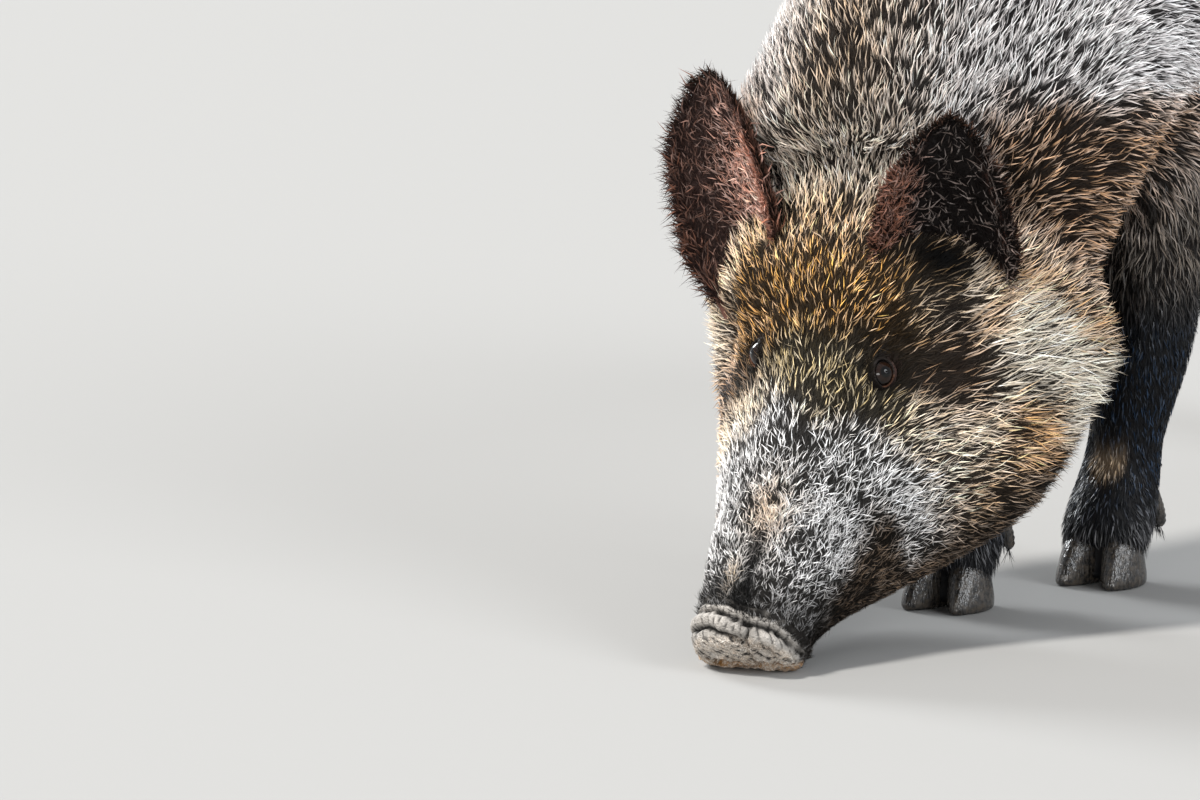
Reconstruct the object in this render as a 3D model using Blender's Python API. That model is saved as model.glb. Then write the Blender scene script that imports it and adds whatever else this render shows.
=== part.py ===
"""Wild boar sow, life size, standing with her snout on the ground.

Metres, +Z up, +X towards the nose, +Y to the animal's left.  The flesh is modelled whole, out to the
tips of the coat, from sections swept along the body, the head and the legs.  It is then parted by thin
cuts.  Ears, eyes, tail, hooves and dewclaws are solids of their own that sit in it.
"""

from math import cos, pi, radians, sin

import bmesh
import bpy
import numpy as np
from mathutils import Matrix, Vector
from mathutils.bvhtree import BVHTree

# Driving dimensions, in metres and degrees.
GAP = 0.0003  # left between pieces that touch
VOXEL = 0.007  # grain of the surface that joins the swept forms
FLESH_FACES = 3800  # triangles of the whole flesh before it is parted
RING = 32  # points round the body and the head
LIMB_RING = 16  # points round a leg

HEAD_PITCH = radians(51.5)  # the line of the face below the horizontal
HEAD_YAW = radians(7.0)  # the head turned to the left
HEAD_ROLL = radians(2.0)
NOSE_TOP = Vector((0.482, -0.022, 0.0408))  # end of the bridge of the nose, behind the disc's rim
DISC_AHEAD = 0.015  # the disc's upper edge, ahead of the end of the bridge
DISC_TILT = 0.005  # how far the disc's lower edge lies behind its upper edge
SNOUT_CUT = 0.010  # along the face from the end of the bridge
HEAD_CUT = 0.342

NECK_CUT_POINT = Vector((0.020, 0.0, 0.49))
NECK_CUT_NORMAL = Vector((0.99, 0.0, -0.14))

EYE_RADIUS = 0.0125
EYE_SHOWS = 0.0045  # how far the ball stands out of the coat
EYE_PLACES = {1: (0.232, -0.042), -1: (0.250, -0.050)}  # along the face and up from its line, left and right

EAR_LENGTH = 0.168
EAR_WIDTH = 0.108
EAR_THICK = 0.009

FOOT_LEFT_FORE = (0.000, 0.050)
FOOT_RIGHT_FORE = (0.152, -0.009)
FOOT_LEFT_HIND = (-0.600, 0.072)
FOOT_RIGHT_HIND = (-0.715, -0.066)
ELBOW_LEFT = (-0.035, 0.090, 0.350)
ELBOW_RIGHT = (-0.018, -0.082, 0.350)
HIP_LEFT = (-0.645, 0.084)
HIP_RIGHT = (-0.655, -0.084)

HOOF_LENGTH = 0.062
HOOF_WIDTH = 0.034
HOOF_HEIGHT = 0.046
TOE_SPREAD = 0.0188  # from the middle of the foot to the middle of a toe
TOE_SPLAY = radians(5.0)
DEWCLAW_LENGTH = 0.034
DEWCLAW_RADIUS = 0.0095

# The middle of each ear's base in the head, and the lie of the ear: towards the neck, out of the
# face and outwards.  The left ear is 1 and is pricked a little further forward.
EAR_BASES = {1: (0.296, -0.054, 0.076), -1: (0.318, -0.046, 0.088)}
EAR_WAYS = {1: (0.62, 0.74, 0.16), -1: (0.84, 0.55, 0.22)}

# Sections of the head: along the face from the end of the bridge, top and bottom from the line of
# the face, shift to the left, where the turned neck folds, half width, height of the widest place,
# pinch above, pinch below, squareness.
HEAD = [
    (-0.015, -0.004, -0.068, 0.000, 0.0415, 0.45, 0.10, 0.10, 0.80),
    (-0.005, 0.002, -0.078, 0.000, 0.0460, 0.45, 0.10, 0.10, 0.80),
    (0.020, 0.000, -0.090, 0.000, 0.0455, 0.48, 0.15, 0.20, 0.75),
    (0.060, 0.000, -0.122, 0.000, 0.0550, 0.50, 0.15, 0.30, 0.72),
    (0.100, 0.004, -0.160, 0.003, 0.0700, 0.40, 0.22, 0.25, 0.80),
    (0.145, 0.008, -0.192, 0.010, 0.0960, 0.30, 0.46, 0.20, 0.90),
    (0.190, 0.010, -0.206, 0.022, 0.1260, 0.24, 0.60, 0.14, 0.98),
    (0.235, 0.012, -0.206, 0.028, 0.1430, 0.22, 0.64, 0.14, 1.00),
    (0.275, 0.020, -0.200, 0.030, 0.1510, 0.24, 0.46, 0.16, 0.98),
    (0.310, 0.022, -0.188, 0.037, 0.1640, 0.26, 0.40, 0.18, 0.94),
    (0.345, 0.018, -0.178, 0.031, 0.1670, 0.30, 0.36, 0.25, 0.90),
    (0.378, 0.006, -0.182, 0.024, 0.1600, 0.40, 0.32, 0.30, 0.90),
]

# Sections of the trunk and neck: back x and z, belly x and z, y, half width, height of the widest
# place, pinch above, pinch below, turn in degrees.
TRUNK = [
    (-0.806, 0.545, -0.800, 0.455, 0.000, 0.050, 0.50, 0.20, 0.20, 0),
    (-0.786, 0.592, -0.778, 0.415, 0.000, 0.100, 0.50, 0.35, 0.20, 0),
    (-0.730, 0.634, -0.715, 0.375, 0.000, 0.134, 0.48, 0.45, 0.20, 0),
    (-0.635, 0.662, -0.620, 0.342, 0.000, 0.152, 0.48, 0.50, 0.20, 0),
    (-0.500, 0.682, -0.495, 0.316, 0.000, 0.164, 0.45, 0.50, 0.20, 0),
    (-0.365, 0.700, -0.370, 0.303, 0.000, 0.170, 0.42, 0.52, 0.20, 0),
    (-0.215, 0.728, -0.250, 0.304, 0.000, 0.168, 0.42, 0.55, 0.25, 0),
    (-0.080, 0.740, -0.135, 0.315, 0.000, 0.163, 0.42, 0.52, 0.30, 0),
    (0.025, 0.715, -0.045, 0.316, -0.006, 0.163, 0.42, 0.48, 0.28, -4),
    (0.115, 0.645, 0.018, 0.298, -0.014, 0.166, 0.40, 0.45, 0.24, -5),
    (0.190, 0.550, 0.060, 0.266, -0.026, 0.170, 0.40, 0.40, 0.22, -3),
    (0.240, 0.455, 0.090, 0.234, -0.037, 0.168, 0.42, 0.34, 0.22, 2),
    (0.270, 0.378, 0.110, 0.206, -0.044, 0.162, 0.44, 0.30, 0.24, 6),
]

COLOURS = {
    "coat": ((0.115, 0.085, 0.060, 1.0), 0.85),
    "snout": ((0.150, 0.115, 0.095, 1.0), 0.55),
    "ear": ((0.045, 0.028, 0.022, 1.0), 0.90),
    "eye": ((0.012, 0.007, 0.005, 1.0), 0.08),
    "hoof": ((0.060, 0.052, 0.047, 1.0), 0.35),
}


def clear_scene():
    for obj in list(bpy.data.objects):
        bpy.data.objects.remove(obj, do_unlink=True)


def make_material(name, colour, roughness):
    material = bpy.data.materials.new(name)
    material.use_nodes = True
    shader = material.node_tree.nodes["Principled BSDF"]
    shader.inputs["Base Color"].default_value = colour
    shader.inputs["Roughness"].default_value = roughness
    shader.inputs["Metallic"].default_value = 0.0
    return material


def head_axes():
    """Unit vectors of the head: along (poll to nose), left and out of the face."""
    along = Vector((cos(HEAD_PITCH) * cos(HEAD_YAW), cos(HEAD_PITCH) * sin(HEAD_YAW), -sin(HEAD_PITCH)))
    level = Vector((-sin(HEAD_YAW), cos(HEAD_YAW), 0.0))
    out = along.cross(level)
    left = level * cos(HEAD_ROLL) + out * sin(HEAD_ROLL)
    return along, left, along.cross(left)


ALONG, LEFT, OUT = head_axes()


def head_point(along, out, left=0.0):
    """A point of the head: from the end of the bridge up the face, out of the face and to the left."""
    return NOSE_TOP - ALONG * along + OUT * out + LEFT * left


def through(rows, steps):
    """A smooth curve through the rows of a table, with so many steps from each row to the next."""
    rows = np.array(rows, float)
    rows = np.vstack([2 * rows[0] - rows[1], rows, 2 * rows[-1] - rows[-2]])
    t = np.linspace(0.0, 1.0, steps, endpoint=False)[:, None]
    pieces = []
    for a, b, c, d in zip(rows, rows[1:], rows[2:], rows[3:]):
        pieces.append(0.5 * (2 * b + (c - a) * t + (2 * a - 5 * b + 4 * c - d) * t**2
                             + (3 * b - a - 3 * c + d) * t**3))
    return np.vstack(pieces + [rows[-2:-1]])


def section(top, bottom, side, half_width, widest, pinch_top, pinch_bottom, square=0.85):
    """A closed section between a top and a bottom point: an oval, squared and pinched."""
    turn = np.linspace(0.0, 2 * pi, RING, endpoint=False)
    across = np.sign(np.cos(turn)) * np.abs(np.cos(turn)) ** square
    up = np.sign(np.sin(turn)) * np.abs(np.sin(turn)) ** square
    over, under = np.clip(up, 0, 1), np.clip(-up, 0, 1)
    top, bottom, side = np.array(top), np.array(bottom), np.array(side)
    middle = bottom + (top - bottom) * widest
    width = across * (1 - pinch_top * over**2 - pinch_bottom * under**2) * half_width
    return middle + np.outer(width, side) + np.outer(over, top - middle) + np.outer(under, bottom - middle)


def new_object(name, bm):
    mesh = bpy.data.meshes.new(name)
    bm.to_mesh(mesh)
    bm.free()
    obj = bpy.data.objects.new(name, mesh)
    bpy.context.scene.collection.objects.link(obj)
    return obj


def loft(name, rings):
    """A closed solid through rings of points, with a flat end at each end."""
    bm = bmesh.new()
    loops = [[bm.verts.new(point) for point in ring] for ring in rings]
    for lower, upper in zip(loops, loops[1:]):
        for i in range(len(lower)):
            j = (i + 1) % len(lower)
            bm.faces.new((lower[i], lower[j], upper[j], upper[i]))
    bm.faces.new(loops[0][::-1])
    bm.faces.new(loops[-1])
    bmesh.ops.recalc_face_normals(bm, faces=bm.faces)
    return new_object(name, bm)


def head_loft():
    rings = []
    for along, top, bottom, shift, half, widest, above, below, square in through(HEAD, 3):
        behind = DISC_TILT * max(0.0, 1 - (along + DISC_AHEAD) / 0.075) ** 2
        upper, lower = head_point(along, top, shift * 0.3), head_point(along + behind, bottom, shift)
        rings.append(section(upper, lower, LEFT, half, widest, above, below, square))
    return loft("head_form", rings)


def trunk_loft():
    rings = []
    for back_x, back_z, belly_x, belly_z, y, half, widest, above, below, turn in through(TRUNK, 4):
        side = (-sin(radians(turn)), cos(radians(turn)), 0.0)
        rings.append(section((back_x, y, back_z), (belly_x, y, belly_z), side, half, widest, above, below))
    return loft("trunk_form", rings)


def limb_loft(name, rows, count=LIMB_RING, steps=4):
    """A round solid along a bent line: each row holds x, y, z and the radii fore and aft and sideways."""
    rows = through(rows, steps)
    middle = rows[:, :3]
    along = np.gradient(middle, axis=0)
    along /= np.linalg.norm(along, axis=1)[:, None]
    turn = np.linspace(0.0, 2 * pi, count, endpoint=False)
    rings = []
    for row, way in zip(rows, along):
        fore = np.array((1.0, 0.0, 0.0)) - way * way[0]
        fore /= np.linalg.norm(fore)
        side = np.cross(way, fore)
        rings.append(row[:3] + np.outer(np.cos(turn) * row[3], fore) + np.outer(np.sin(turn) * row[4], side))
    return loft(name, rings)


def foreleg_rows(foot, elbow):
    """Shoulder, elbow, forearm, carpus, cannon, fetlock and the crown of the hooves."""
    foot_x, foot_y = foot
    x, y, z = elbow
    fetlock_x = foot_x - 0.030

    def down(share):
        return x + (fetlock_x - x) * share, y + (foot_y - y) * share

    return [
        (x - 0.025, y, z + 0.115, 0.100, 0.058),
        (x, y, z, 0.074, 0.054),
        (*down(0.38), 0.250, 0.052, 0.047),
        (*down(0.68), 0.172, 0.044, 0.042),
        (*down(0.86), 0.120, 0.034, 0.033),
        (fetlock_x, foot_y, 0.080, 0.036, 0.036),
        (foot_x - 0.010, foot_y, 0.048, 0.036, 0.039),
        (foot_x + 0.002, foot_y, 0.028, 0.034, 0.038),
    ]


def hindleg_rows(foot, hip):
    """Thigh, stifle, gaskin, hock, cannon, fetlock and the crown of the hooves."""
    foot_x, foot_y = foot
    x, y = hip
    fetlock_x = foot_x - 0.028
    hock_x = foot_x - 0.078

    def between(share):
        return x + (hock_x - x) * share, y + (foot_y - y) * share * 0.6

    stifle, gaskin = between(0.2), between(0.6)
    return [
        (x - 0.010, y, 0.520, 0.132, 0.062),
        (x - 0.003, y * 1.04, 0.430, 0.128, 0.062),
        (stifle[0] + 0.008, stifle[1] * 1.03, 0.350, 0.094, 0.054),
        (*gaskin, 0.283, 0.060, 0.044),
        (hock_x, between(1.0)[1], 0.222, 0.044, 0.034),
        (hock_x + 0.020, (between(1.0)[1] + foot_y) / 2, 0.150, 0.032, 0.030),
        (fetlock_x, foot_y, 0.082, 0.034, 0.034),
        (foot_x - 0.010, foot_y, 0.048, 0.034, 0.037),
        (foot_x + 0.002, foot_y, 0.028, 0.032, 0.036),
    ]


def tail_form():
    """The tail hangs behind the rump and ends in a tuft."""
    return limb_loft("tail", [
        (-0.760, 0.000, 0.560, 0.022, 0.024),
        (-0.800, 0.002, 0.562, 0.020, 0.022),
        (-0.832, 0.005, 0.540, 0.016, 0.018),
        (-0.844, 0.008, 0.490, 0.013, 0.015),
        (-0.847, 0.010, 0.430, 0.012, 0.014),
        (-0.848, 0.012, 0.370, 0.014, 0.019),
        (-0.848, 0.013, 0.325, 0.010, 0.014),
        (-0.847, 0.013, 0.305, 0.003, 0.004),
    ], 10, 2)


def ear_form(name, left):
    """A cupped leaf: broad above its base, pointed at its tip, with its hollow turned forward."""
    along, above, aside = EAR_BASES[left]
    base = head_point(along, above, aside * left)
    back, out, aside = EAR_WAYS[left]
    up = (-ALONG * back + OUT * out + LEFT * (aside * left)).normalized()
    face = OUT * 0.86 + ALONG * 0.48 + LEFT * (0.45 * left)
    face = (face - up * face.dot(up)).normalized()
    side = up.cross(face)
    rings = []
    for share, width, cup in ((0.0, 0.66, 0.55), (0.16, 0.88, 0.55), (0.34, 1.0, 0.45), (0.52, 0.97, 0.36),
                              (0.70, 0.80, 0.28), (0.85, 0.52, 0.22), (0.95, 0.25, 0.15), (1.0, 0.07, 0.1)):
        half = EAR_WIDTH * width / 2
        middle = base + up * (EAR_LENGTH * share) + face * (0.010 * sin(pi * share))
        thick = EAR_THICK * (0.55 + 0.45 * width)
        across = np.linspace(-1.0, 1.0, 7)
        hollow = np.outer(half * across, side) - np.outer(half * cup * (1 - across**2), face)
        wall = np.outer(thick * np.sqrt(1.02 - across**2), face)
        ring = [middle + Vector(p) for p in hollow]
        ring += [middle + Vector(p) for p in (hollow - wall)[::-1]]
        rings.append(ring)
    return loft(name, rings)


def toe_form(name, foot, side, spread):
    """One hoof: a flat sole, a wall that leans back, and a crown that goes up into the leg."""
    turn = np.linspace(0.0, 2 * pi, 14, endpoint=False)
    way = np.array((cos(TOE_SPLAY * side), sin(TOE_SPLAY * side)))
    across = np.array((-way[1], way[0]))
    rings = []
    for share, front, back, wide in ((0.0, 0.95, 0.96, 0.92), (0.08, 1.0, 1.0, 1.0), (0.4, 0.80, 0.98, 0.98),
                                     (0.75, 0.50, 0.90, 0.88), (1.0, 0.25, 0.75, 0.70)):
        fore = np.cos(turn)
        x = HOOF_LENGTH / 2 * np.where(fore > 0, fore * front * 1.1, fore * back * 0.9)
        y = HOOF_WIDTH / 2 * wide * np.sin(turn) * (1 - 0.35 * np.clip(fore, 0, 1) ** 2)
        flat = np.array(foot) + spread * np.array((0.0, side)) + np.outer(x, way) + np.outer(y, across)
        rings.append(np.column_stack([flat, np.full(len(turn), HOOF_HEIGHT * share)]))
    return loft(name, rings)


def dewclaw_form(name, foot, side):
    """A small claw behind the fetlock that points down and back."""
    x, y = foot
    start = Vector((x - 0.044, y + 0.018 * side, 0.068))
    end = start + Vector((-0.34, 0.18 * side, -0.92)).normalized() * DEWCLAW_LENGTH
    rows = []
    for share, wide in ((0.0, 0.80), (0.5, 1.0), (1.0, 0.45)):
        rows.append((*start.lerp(end, share), DEWCLAW_RADIUS * wide, DEWCLAW_RADIUS * wide * 0.85))
    rings = []
    turn = np.linspace(0.0, 2 * pi, 8, endpoint=False)
    for x, y, z, fore, across in rows:
        rings.append(np.column_stack([x + fore * np.cos(turn), y + across * np.sin(turn), np.full(8, z)]))
    return loft(name, rings)


def ball(name, middle, radius):
    bm = bmesh.new()
    bmesh.ops.create_uvsphere(bm, u_segments=12, v_segments=8, radius=radius,
                              matrix=Matrix.Translation(middle))
    return new_object(name, bm)


def block(name, lower, upper):
    """A cutter with a rectangular lower and upper face, each given as x0, x1, y0, y1 and z."""
    points = []
    for x0, x1, y0, y1, z in (lower, upper):
        points.append([(x0, y0, z), (x1, y0, z), (x1, y1, z), (x0, y1, z)])
    return loft(name, points)


def half_space(name, point, normal, size=3.0):
    """A large box that fills the space on the far side of a plane."""
    bm = bmesh.new()
    bmesh.ops.create_cube(bm, size=size)
    turn = Vector(normal).to_track_quat("Z", "Y").to_matrix().to_4x4()
    place = Matrix.Translation(Vector(point) + Vector(normal).normalized() * size / 2) @ turn
    bmesh.ops.transform(bm, matrix=place, verts=bm.verts)
    return new_object(name, bm)


def evaluated(obj):
    """The object's mesh with its modifiers, on a plain object of the same name."""
    bpy.context.view_layer.update()
    graph = bpy.context.evaluated_depsgraph_get()
    mesh = bpy.data.meshes.new_from_object(obj.evaluated_get(graph), depsgraph=graph)
    name = obj.name
    bpy.data.objects.remove(obj, do_unlink=True)
    solid = bpy.data.objects.new(name, mesh)
    bpy.context.scene.collection.objects.link(solid)
    return solid


def copy_of(obj, name):
    twin = bpy.data.objects.new(name, obj.data.copy())
    bpy.context.scene.collection.objects.link(twin)
    return twin


def combine(obj, other, operation):
    """The object cut by, or kept inside, another one."""
    boolean = obj.modifiers.new("Combine", "BOOLEAN")
    boolean.operation = operation
    boolean.solver = "EXACT"
    boolean.object = other
    return evaluated(obj)


def triangulated(obj):
    """Every face cut into triangles, so that a mould of the object has the same faces as it does."""
    bm = bmesh.new()
    bm.from_mesh(obj.data)
    bmesh.ops.triangulate(bm, faces=bm.faces)
    bm.to_mesh(obj.data)
    bm.free()
    return obj


def grown(obj, by):
    """A copy of a solid with its surface moved outwards."""
    bm = bmesh.new()
    bm.from_mesh(obj.data)
    bmesh.ops.recalc_face_normals(bm, faces=bm.faces)
    bm.normal_update()
    shift = [vertex.normal * by for vertex in bm.verts]
    for vertex, way in zip(bm.verts, shift):
        vertex.co += way
    return new_object(obj.name + "_grown", bm)


def joined(name, forms):
    """Overlapping forms made one even surface, smoothed and thinned to a few thousand faces."""
    bm = bmesh.new()
    for form in forms:
        bm.from_mesh(form.data)
        bpy.data.objects.remove(form, do_unlink=True)
    whole = new_object(name, bm)
    remesh = whole.modifiers.new("Join", "REMESH")
    remesh.mode = "VOXEL"
    remesh.voxel_size = VOXEL
    whole = evaluated(whole)
    smooth = whole.modifiers.new("Smooth", "SMOOTH")
    smooth.factor = 0.5
    smooth.iterations = 8
    whole = evaluated(whole)
    thin = whole.modifiers.new("Thin", "DECIMATE")
    thin.ratio = FLESH_FACES / (2 * len(whole.data.polygons))
    thin.use_collapse_triangulate = True
    return evaluated(whole)


def without_crumbs(obj):
    """The largest of an object's separate bodies, without the crumbs that a cut may leave."""
    bm = bmesh.new()
    bm.from_mesh(obj.data)
    left, largest = set(bm.verts), set()
    while left:
        body, edge = set(), {left.pop()}
        while edge:
            body |= edge
            edge = {other for v in edge for e in v.link_edges for other in e.verts} - body
        left -= body
        largest = max(largest, body, key=len)
    bmesh.ops.delete(bm, geom=[v for v in bm.verts if v not in largest], context="VERTS")
    bm.to_mesh(obj.data)
    bm.free()
    return obj


def part_by(flesh, name, cutter, grown_cutter):
    """What lies inside the cutter becomes a piece, and the rest keeps a gap to it."""
    piece = without_crumbs(combine(copy_of(flesh, name), cutter, "INTERSECT"))
    rest = without_crumbs(combine(flesh, grown_cutter, "DIFFERENCE"))
    bpy.data.objects.remove(cutter, do_unlink=True)
    bpy.data.objects.remove(grown_cutter, do_unlink=True)
    return piece, rest


def part_by_plane(flesh, name, point, normal):
    """What lies beyond a plane becomes a piece."""
    near = Vector(point) - Vector(normal).normalized() * GAP
    return part_by(flesh, name, half_space("cutter", point, normal), half_space("cutter_gap", near, normal))


def part_by_block(flesh, name, lower, upper):
    """What lies inside a block becomes a piece."""
    wider = []
    for (x0, x1, y0, y1, z), lift in ((lower, -GAP), (upper, GAP)):
        wider.append((x0 - GAP, x1 + GAP, y0 - GAP, y1 + GAP, z + lift))
    return part_by(flesh, name, block("cutter", lower, upper), block("cutter_gap", *wider))


def foreleg_block(foot, elbow, front):
    """The block that parts a foreleg from the trunk, slanted as the leg is."""
    foot_x, foot_y = foot
    x, y, z = elbow
    lower = (foot_x - 0.085, foot_x + front, foot_y - 0.062, foot_y + 0.062, -0.05)
    upper = (x - 0.110, x + 0.060, y - 0.076, y + 0.076, z - 0.010)
    return lower, upper


def hindleg_block(foot, hip, side):
    """The block that parts a hind leg from the trunk."""
    x, y = hip
    inner, outer = 0.004 * side, 0.190 * side
    near, far = min(inner, outer), max(inner, outer)
    return (x - 0.20, x + 0.16, near, far, -0.05), (x - 0.20, x + 0.16, near, far, 0.392)


def seat(piece, flesh):
    """The piece without what reaches into the flesh."""
    mould = grown(flesh, GAP)
    seated = combine(piece, mould, "DIFFERENCE")
    bpy.data.objects.remove(mould, do_unlink=True)
    return seated


def bed(flesh, piece):
    """The flesh with a socket that the piece sits in."""
    mould = grown(piece, GAP)
    socket = combine(flesh, mould, "DIFFERENCE")
    bpy.data.objects.remove(mould, do_unlink=True)
    return socket


def eye_place(flesh, left):
    """The middle of an eyeball, so deep under the side of the face that a shallow cap shows."""
    bm = bmesh.new()
    bm.from_mesh(flesh.data)
    tree = BVHTree.FromBMesh(bm)
    bm.free()
    way = (LEFT * left + OUT * 0.30).normalized()
    start = head_point(*EYE_PLACES[left])
    surface = tree.ray_cast(start, way)[0]
    return surface - way * (EYE_RADIUS - EYE_SHOWS)


def finish(obj, material):
    """Material, smooth shading and its own place in the scene."""
    obj.data.materials.clear()
    obj.data.materials.append(material)
    obj.data.shade_smooth()
    obj.data.set_sharp_from_angle(angle=radians(40))


def build():
    clear_scene()
    materials = {name: make_material(name, *look) for name, look in COLOURS.items()}
    feet = {
        "fore_left": (FOOT_LEFT_FORE, ELBOW_LEFT),
        "fore_right": (FOOT_RIGHT_FORE, ELBOW_RIGHT),
        "hind_left": (FOOT_LEFT_HIND, HIP_LEFT),
        "hind_right": (FOOT_RIGHT_HIND, HIP_RIGHT),
    }
    forms = [head_loft(), trunk_loft()]
    for name, (foot, top) in feet.items():
        rows = foreleg_rows(foot, top) if name.startswith("fore") else hindleg_rows(foot, top)
        forms.append(limb_loft(name, rows))
    flesh = joined("trunk", forms)
    ground = half_space("ground", (0, 0, 0), (0, 0, -1))
    flesh = combine(flesh, ground, "DIFFERENCE")
    bpy.data.objects.remove(ground, do_unlink=True)

    nodes = {}
    for side, word in ((1, "left"), (-1, "right")):
        nodes["eye_" + word] = ball("eye_" + word, eye_place(flesh, side), EYE_RADIUS), "eye"
        nodes["ear_" + word] = seat(ear_form("ear_" + word, side), flesh), "ear"
    nodes["tail"] = seat(tail_form(), flesh), "coat"
    for name, (foot, _) in feet.items():
        for side, word in ((1, "outer"), (-1, "inner")):
            turn = side if "left" in name else -side
            hoof = f"hoof_{name}_{word}"
            claw = f"dewclaw_{name}_{word}"
            nodes[hoof] = triangulated(toe_form(hoof, foot, turn, TOE_SPREAD)), "hoof"
            nodes[claw] = triangulated(dewclaw_form(claw, foot, turn)), "hoof"
    for name, (piece, material) in nodes.items():
        if material in ("eye", "hoof"):
            flesh = bed(flesh, piece)

    for word, foot, elbow, front in (("left", FOOT_LEFT_FORE, ELBOW_LEFT, 0.050),
                                     ("right", FOOT_RIGHT_FORE, ELBOW_RIGHT, 0.085)):
        leg, flesh = part_by_block(flesh, "foreleg_" + word, *foreleg_block(foot, elbow, front))
        nodes["foreleg_" + word] = leg, "coat"
    for word, foot, hip, side in (("left", FOOT_LEFT_HIND, HIP_LEFT, 1),
                                  ("right", FOOT_RIGHT_HIND, HIP_RIGHT, -1)):
        leg, flesh = part_by_block(flesh, "hindleg_" + word, *hindleg_block(foot, hip, side))
        nodes["hindleg_" + word] = leg, "coat"
    snout, flesh = part_by_plane(flesh, "snout", head_point(SNOUT_CUT, 0.0), ALONG)
    head, flesh = part_by_plane(flesh, "head", head_point(HEAD_CUT, 0.0), ALONG)
    neck, flesh = part_by_plane(flesh, "neck", NECK_CUT_POINT, NECK_CUT_NORMAL)
    nodes.update(snout=(snout, "snout"), head=(head, "coat"), neck=(neck, "coat"), trunk=(flesh, "coat"))

    corners = np.vstack([[v.co for v in piece.data.vertices] for piece, _ in nodes.values()])
    low, high = corners.min(axis=0), corners.max(axis=0)
    shift = Matrix.Translation((-(low[0] + high[0]) / 2, -(low[1] + high[1]) / 2, 0.0))
    for piece, material in nodes.values():
        piece.data.transform(shift)
        finish(piece, materials[material])


build()
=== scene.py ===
# %% [markdown]
# # A wild boar sow, life size
# She stands with her snout on the ground and her head turned a little to her left.  The solids of the
# part hold her outline, out to the tips of the coat.  Here they get their looks: one skin that lies
# inside them, and over it a coat of about half a million tufts that follow the lie of the hair.
# The first cell loads the solids as a fixed frame.  Everything below is placed from them.

# %% Load the frame
from math import cos, pi, radians, sin

import bmesh
import bpy
import numpy as np
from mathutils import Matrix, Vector


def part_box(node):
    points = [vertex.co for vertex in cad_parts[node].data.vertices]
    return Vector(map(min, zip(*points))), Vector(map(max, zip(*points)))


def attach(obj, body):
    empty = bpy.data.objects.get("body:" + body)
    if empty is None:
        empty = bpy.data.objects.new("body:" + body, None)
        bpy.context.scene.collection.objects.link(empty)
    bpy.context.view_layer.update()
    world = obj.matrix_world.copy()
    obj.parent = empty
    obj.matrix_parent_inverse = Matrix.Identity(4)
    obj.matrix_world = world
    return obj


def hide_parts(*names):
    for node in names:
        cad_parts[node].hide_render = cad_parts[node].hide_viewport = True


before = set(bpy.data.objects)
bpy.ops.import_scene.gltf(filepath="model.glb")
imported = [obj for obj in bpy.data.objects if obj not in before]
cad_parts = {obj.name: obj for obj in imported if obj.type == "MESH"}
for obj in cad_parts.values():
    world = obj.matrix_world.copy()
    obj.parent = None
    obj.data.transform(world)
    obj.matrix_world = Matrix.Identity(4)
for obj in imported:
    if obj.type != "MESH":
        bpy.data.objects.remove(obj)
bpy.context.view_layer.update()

FEW = 1.0

# %% [markdown]
# ## The camera
# A short lens close by would make the snout large and the body small.  A long lens from far away keeps
# the head and the body in their true proportions, so that is used here.  The camera looks from the
# front left, a little down.  Its aim is measured from the left forefoot, so that it follows the frame.

# %% Camera
def in_scene(name, data):
    """A new object of the scene that holds this mesh, lamp or camera."""
    new = bpy.data.objects.new(name, data)
    bpy.context.scene.collection.objects.link(new)
    return new


def middle(*nodes):
    """The middle of the box round some solids, at rest."""
    corners = np.array([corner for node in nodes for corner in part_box(node)])
    return (corners.min(axis=0) + corners.max(axis=0)) / 2


FOOT = middle("hoof_fore_left_outer", "hoof_fore_left_inner") * (1, 1, 0)
AZIMUTH, ELEVATION, DISTANCE = radians(30.0), radians(9.0), 5.3
LENS, SENSOR_WIDTH, FARTHEST_SEEN = 200.0, 36.0, 200.0
TOWARDS = np.array((cos(ELEVATION) * cos(AZIMUTH), cos(ELEVATION) * sin(AZIMUTH), sin(ELEVATION)))
ACROSS = np.array((-sin(AZIMUTH), cos(AZIMUTH), 0.0))
UPWARDS = np.cross(TOWARDS, ACROSS)
AIM_LEFT, AIM_UP = 0.398, 0.146  # from the foot, as the camera sees it
AIM = FOOT - AIM_LEFT * ACROSS + AIM_UP * UPWARDS

camera_data = bpy.data.cameras.new("camera")
camera_data.lens = LENS
camera_data.sensor_width = SENSOR_WIDTH
camera_data.clip_end = FARTHEST_SEEN
camera = in_scene("camera", camera_data)
camera.location = AIM + TOWARDS * DISTANCE
camera.rotation_euler = (pi / 2 - ELEVATION, 0.0, AZIMUTH + pi / 2)
bpy.context.scene.camera = camera
print("camera at", np.round(camera.location, 3), "aims at", np.round(AIM, 3))

# %% [markdown]
# ## Helpers for masks
# Nearly every fold and marking below is placed by soft masks: numbers between 0 and 1 at each point of
# the skin.  They could be painted by hand.  As formulas they stay sharp at any size, and the code
# says where each marking lies.

# %% Soft steps and bumps
def smoothstep(low, high, x):
    """0 below low, 1 above high, and between them 3 t squared - 2 t cubed, t running from 0 to 1."""
    t = np.clip((x - low) / (high - low), 0.0, 1.0)
    return t * t * (3 - 2 * t)


def fade(low, high, x):
    """1 below low, 0 above high: what smoothstep leaves of 1."""
    return 1 - smoothstep(low, high, x)


def bump_at(x, place, spread):
    """1 at a place, falling off to both sides as a bell: e to the power of -(distance / spread) squared."""
    return np.exp(-(((x - place) / spread) ** 2))


def unit(v):
    """Vectors brought to length 1."""
    return v / np.maximum(np.linalg.norm(v, axis=-1, keepdims=True), 1e-9)


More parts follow.
